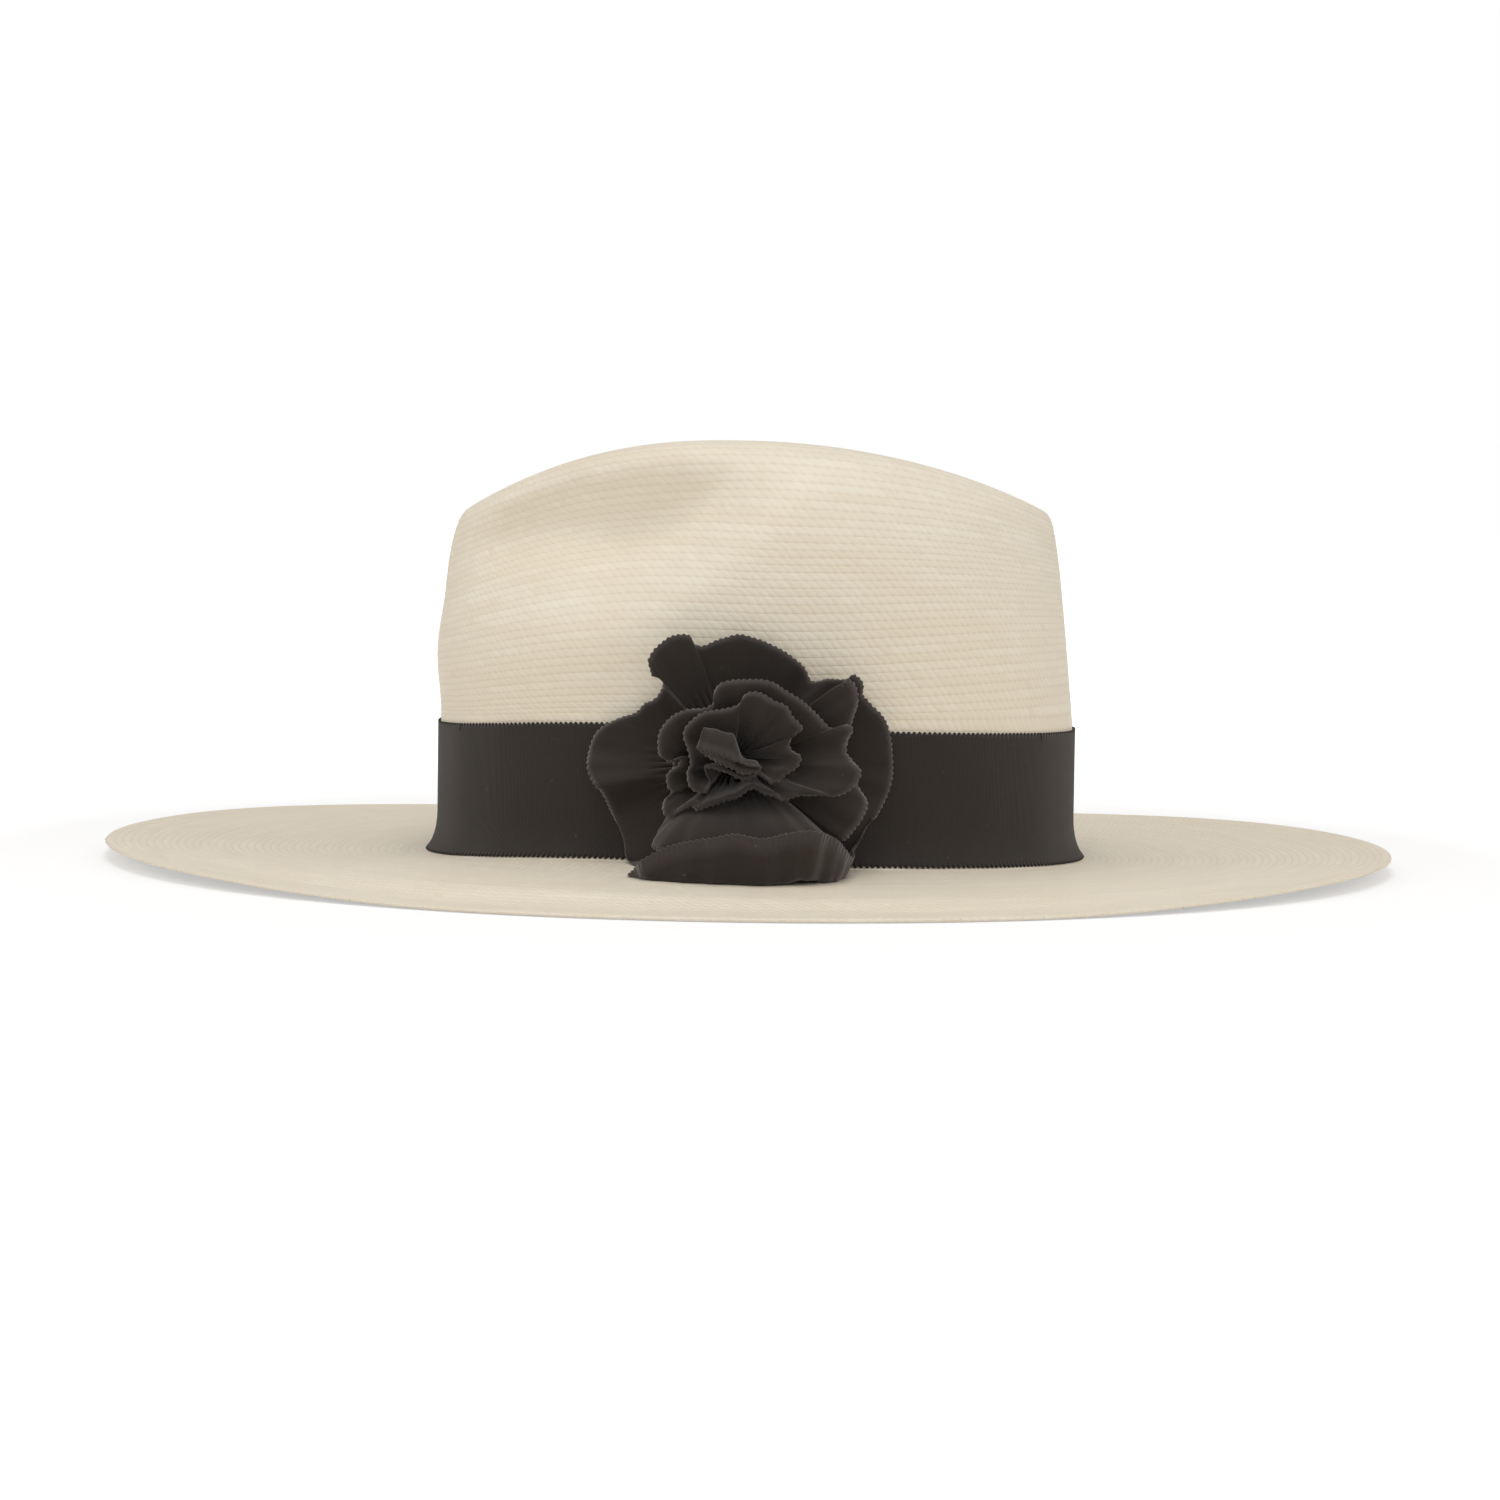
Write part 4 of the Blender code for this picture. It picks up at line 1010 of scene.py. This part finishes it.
def add_tube(path, radius, sides, points, faces):
    """Adds a round closed tube along path, with a radius at each of its points, to the lists of points
    and faces."""
    along = np.gradient(path, axis=0)
    along /= np.linalg.norm(along, axis=1, keepdims=True)
    first = len(points)
    for point, way, reach in zip(path, along, radius):
        side = np.cross(way, UPWARDS)
        side /= np.linalg.norm(side)
        up = np.cross(side, way)
        for k in range(sides):
            turn = 2 * math.pi * k / sides
            points.append(point + (side * math.cos(turn) + up * math.sin(turn)) * reach)
    end = first + (len(path) - 1) * sides
    for low in range(first, end, sides):
        high = low + sides
        for k in range(sides):
            j = (k + 1) % sides
            faces.append([low + k, high + k, high + j, low + j])
    faces.append([first + k for k in range(sides)])
    faces.append([end + k for k in reversed(range(sides))])


def make_stitching(material):
    """Running stitches round the sweatband's foot."""
    up = SWEATBAND_FOOT + STITCH_ABOVE_FOOT
    around = 2 * math.pi * math.sqrt((HEAD_HALF_LENGTH**2 + HEAD_HALF_WIDTH**2) / 2)
    count = int(round(around / (STITCH_LENGTH + STITCH_SPACE)))
    half = STITCH_LENGTH / around * math.pi
    arch = np.array(STITCH_ARCH)
    stand = STITCH_RADIUS * (STITCH_STAND[0] + STITCH_STAND[1] * arch)
    radius = STITCH_RADIUS * (STITCH_END + (1 - STITCH_END) * arch)
    points, faces = [], []
    for i in range(count):
        middle = 2 * math.pi * (i + 0.5) / count
        angles = np.linspace(middle - half, middle + half, len(arch))
        path = oval(angles, HEAD_FACE - stand, break_height(angles) + up)
        add_tube(path, radius, STITCH_SIDES, points, faces)
    obj = add_mesh("sweatband_stitches", np.array(points), faces, material)
    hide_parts("sweatband_stitching")
    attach(obj, "root")


def make_seam_bow(material):
    """Two soft loops and a knot of narrow ribbon over the sweatband's seam."""
    face = CROWN_SETBACK + STRAW_HALF_LENGTH + HEAD_FACE - BOW_STANDOFF
    middle = SWEATBAND_FOOT + BOW_ABOVE_FOOT
    half_depth = BOW_LOOP_DEPTH / 2
    inner_end = BOW_KNOT_WIDTH / 2 + BOW_RIBBON_THICKNESS + CLEARANCE
    turn = np.linspace(0, 2 * math.pi, BOW_STEPS, endpoint=False)
    along = inner_end + BOW_LOOP_LENGTH * (1 - np.cos(turn)) / 2
    curl = HEAD_HALF_LENGTH * (1 - np.sqrt(1 - (along / HEAD_HALF_WIDTH) ** 2))
    widening = smoothstep(inner_end, inner_end + BOW_WIDE_FROM * BOW_LOOP_LENGTH, along)
    width = BOW_RIBBON_WIDTH * (BOW_NARROW + (1 - BOW_NARROW) * widening)
    droop = BOW_DROOP * (along - inner_end) / BOW_LOOP_LENGTH
    uv = uv_grid(np.linspace(0, BOW_UV[0], BOW_STEPS + 1), np.linspace(0, BOW_UV[1], BOW_ROWS))
    for side, node in ((-1, "seam_bow_left_loop"), (1, "seam_bow_right_loop")):
        rows = []
        for share in np.linspace(-0.5, 0.5, BOW_ROWS):
            hollow = 1 - BOW_EDGE_HOLLOW * (2 * share) ** 2
            x = face - half_depth + half_depth * np.sin(turn) * hollow - curl
            z = middle + share * width - droop
            rows.append(np.stack([x, side * along, z], -1)[::side])
        obj = solidify(add_grid(node + "_cloth", np.stack(rows), material, True, uv), BOW_SHEET, 1)
        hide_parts(node)
        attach(obj, "root")
    turn = np.linspace(0, 2 * math.pi, KNOT_STEPS, endpoint=False)
    cos, sin = np.cos(turn), np.sin(turn)
    deep = half_depth * np.sign(cos) * np.abs(cos) ** KNOT_ROUNDING
    high = (BOW_RIBBON_WIDTH / 2 + BOW_RIBBON_THICKNESS) * np.sign(sin) * np.abs(sin) ** KNOT_ROUNDING
    rows = []
    for share in np.linspace(-1, 1, KNOT_ROWS):
        pinch = 1 - KNOT_WAIST * (1 - share**2)
        y = np.full(KNOT_STEPS, share * BOW_KNOT_WIDTH / 2)
        rows.append(np.stack([face - half_depth + deep * pinch, y, middle + high * pinch], -1))
    uv = uv_grid(np.linspace(0, KNOT_UV[0], KNOT_STEPS + 1), np.linspace(0, KNOT_UV[1], KNOT_ROWS))
    obj = solidify(add_grid("seam_bow_knot_cloth", np.stack(rows), material, True, uv), BOW_SHEET, -1)
    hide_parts("seam_bow_knot")
    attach(obj, "root")


def dress_nodes(nodes, material):
    """Gives a material to pieces that keep their CAD shapes."""
    for node in nodes:
        obj = bpy.data.objects[node]
        obj.data.materials.clear()
        obj.data.materials.append(material)
        obj.data.shade_smooth()


# Stage

def make_floor():
    n = Nodes("floor")
    tree, out = n.tree, n.tree.nodes["Material Output"]
    tree.nodes.remove(n.shader)
    plain = n.add("ShaderNodeBsdfDiffuse")
    plain.inputs["Color"].default_value = FLOOR_BOUNCE
    seen = n.add("ShaderNodeBsdfDiffuse")
    seen.inputs["Color"].default_value = FLOOR_SEEN
    away = n.add("ShaderNodeVectorMath", operation="LENGTH")
    n.put(n.place(), away.inputs[0])
    glow = n.add("ShaderNodeEmission")
    n.put(n.spread(away.outputs["Value"], *FLOOR_GLOW_DISTANCES, *FLOOR_GLOW), glow.inputs["Strength"])
    both = n.add("ShaderNodeAddShader")
    tree.links.new(seen.outputs[0], both.inputs[0])
    tree.links.new(glow.outputs[0], both.inputs[1])
    path = n.add("ShaderNodeLightPath").outputs
    mirrored = n.math("MAXIMUM", path["Is Glossy Ray"], path["Is Transmission Ray"])
    mix = n.add("ShaderNodeMixShader")
    tree.links.new(n.math("MAXIMUM", path["Is Camera Ray"], mirrored), mix.inputs[0])
    tree.links.new(plain.outputs[0], mix.inputs[1])
    tree.links.new(both.outputs[0], mix.inputs[2])
    tree.links.new(mix.outputs[0], out.inputs[0])
    size = FLOOR_HALF_WIDTH
    corners = [(-size, -size), (size, -size), (size, size), (-size, size)]
    points = np.array([(x, y, -FLOOR_DROP) for x, y in corners])
    add_mesh("floor", points, [[0, 1, 2, 3]], n.material)


def make_light():
    world = bpy.data.worlds.new("studio")
    world.use_nodes = True
    tree = world.node_tree
    tree.nodes.clear()
    out = tree.nodes.new("ShaderNodeOutputWorld")
    soft = tree.nodes.new("ShaderNodeBackground")
    soft.inputs["Color"].default_value = WORLD_COLOUR
    soft.inputs["Strength"].default_value = WORLD_STRENGTH
    white = tree.nodes.new("ShaderNodeBackground")
    white.inputs["Color"].default_value = WHITE
    white.inputs["Strength"].default_value = 1.0
    path = tree.nodes.new("ShaderNodeLightPath")
    mix = tree.nodes.new("ShaderNodeMixShader")
    tree.links.new(path.outputs["Is Camera Ray"], mix.inputs[0])
    tree.links.new(soft.outputs[0], mix.inputs[1])
    tree.links.new(white.outputs[0], mix.inputs[2])
    tree.links.new(mix.outputs[0], out.inputs[0])
    bpy.context.scene.world = world
    for name, (place, size, power) in LAMPS.items():
        lamp = bpy.data.lights.new(name, "AREA")
        lamp.size = size
        lamp.energy = power
        obj = bpy.data.objects.new(name, lamp)
        obj.location = place
        obj.rotation_euler = (Vector(LAMP_TARGET) - Vector(place)).to_track_quat("-Z", "Y").to_euler()
        bpy.context.scene.collection.objects.link(obj)


def make_camera():
    data = bpy.data.cameras.new("camera")
    data.sensor_width = SENSOR_WIDTH
    data.lens = SENSOR_WIDTH * FOCAL_PIXELS / PHOTO_WIDTH
    camera = bpy.data.objects.new("camera", data)
    tilt = math.atan((PHOTO_WIDTH / 2 - HORIZON_ROW) / FOCAL_PIXELS)
    camera.matrix_world = (
        Matrix.Translation((0, -CAMERA_DISTANCE, CAMERA_HEIGHT))
        @ Matrix.Rotation(math.pi / 2 - tilt, 4, "X")
        @ Matrix.Rotation(PHOTO_ROLL, 4, "Z")
    )
    bpy.context.scene.collection.objects.link(camera)
    bpy.context.scene.camera = camera


make_camera()
make_light()
make_floor()
bpy.context.scene.view_settings.view_transform = "Standard"

band_black = ribbon_material(
    "band_grosgrain", BAND_TONES, sheen=0.18, sheen_tint=(0.9, 0.85, 0.8, 1), rib_shade=0.3, relief=0.6)
rosette_black = ribbon_material(
    "rosette_grosgrain", ROSETTE_TONES, sheen=0.3, sheen_tint=(1.0, 0.95, 0.92, 1), rib_shade=0.06,
    relief=0.25, edge_highlight=ROSETTE_EDGE_HIGHLIGHT)
black_thread = thread_material("black_thread", BLACK_THREAD_TONES)
tan_thread = thread_material("tan_thread", TAN_THREAD_TONES)

make_straw(straw_material())
make_straw_ends(straw_end_material())
make_hat_ribbon(band_black)
for ruffle, resting_on in (
    ("outer_ruffle", ["rosette_backing", "ribbon_band", "straw_hat"]),
    ("second_ruffle", ["rosette_backing", "outer_ruffle_cloth"]),
    ("middle_ruffle", ["rosette_backing", "second_ruffle_cloth"]),
    ("inner_ruffle", ["rosette_backing", "middle_ruffle_cloth"]),
    ("centre_bud", ["rosette_backing", "inner_ruffle_cloth"]),
):
    cloth, flat = make_ruffle(ruffle, RUFFLES[ruffle], rosette_black)
make_sweatband(leather_material())
make_stitching(tan_thread)
make_seam_bow(band_black)
dress_nodes([f"ribbon_tack_{i}" for i in range(1, 7)], black_thread)
dress_nodes([f"rosette_tack_{i}" for i in range(1, 5)], black_thread)
dress_nodes(["sweatband_reed"], reed_material())
dress_nodes(["rosette_backing"], felt_material())
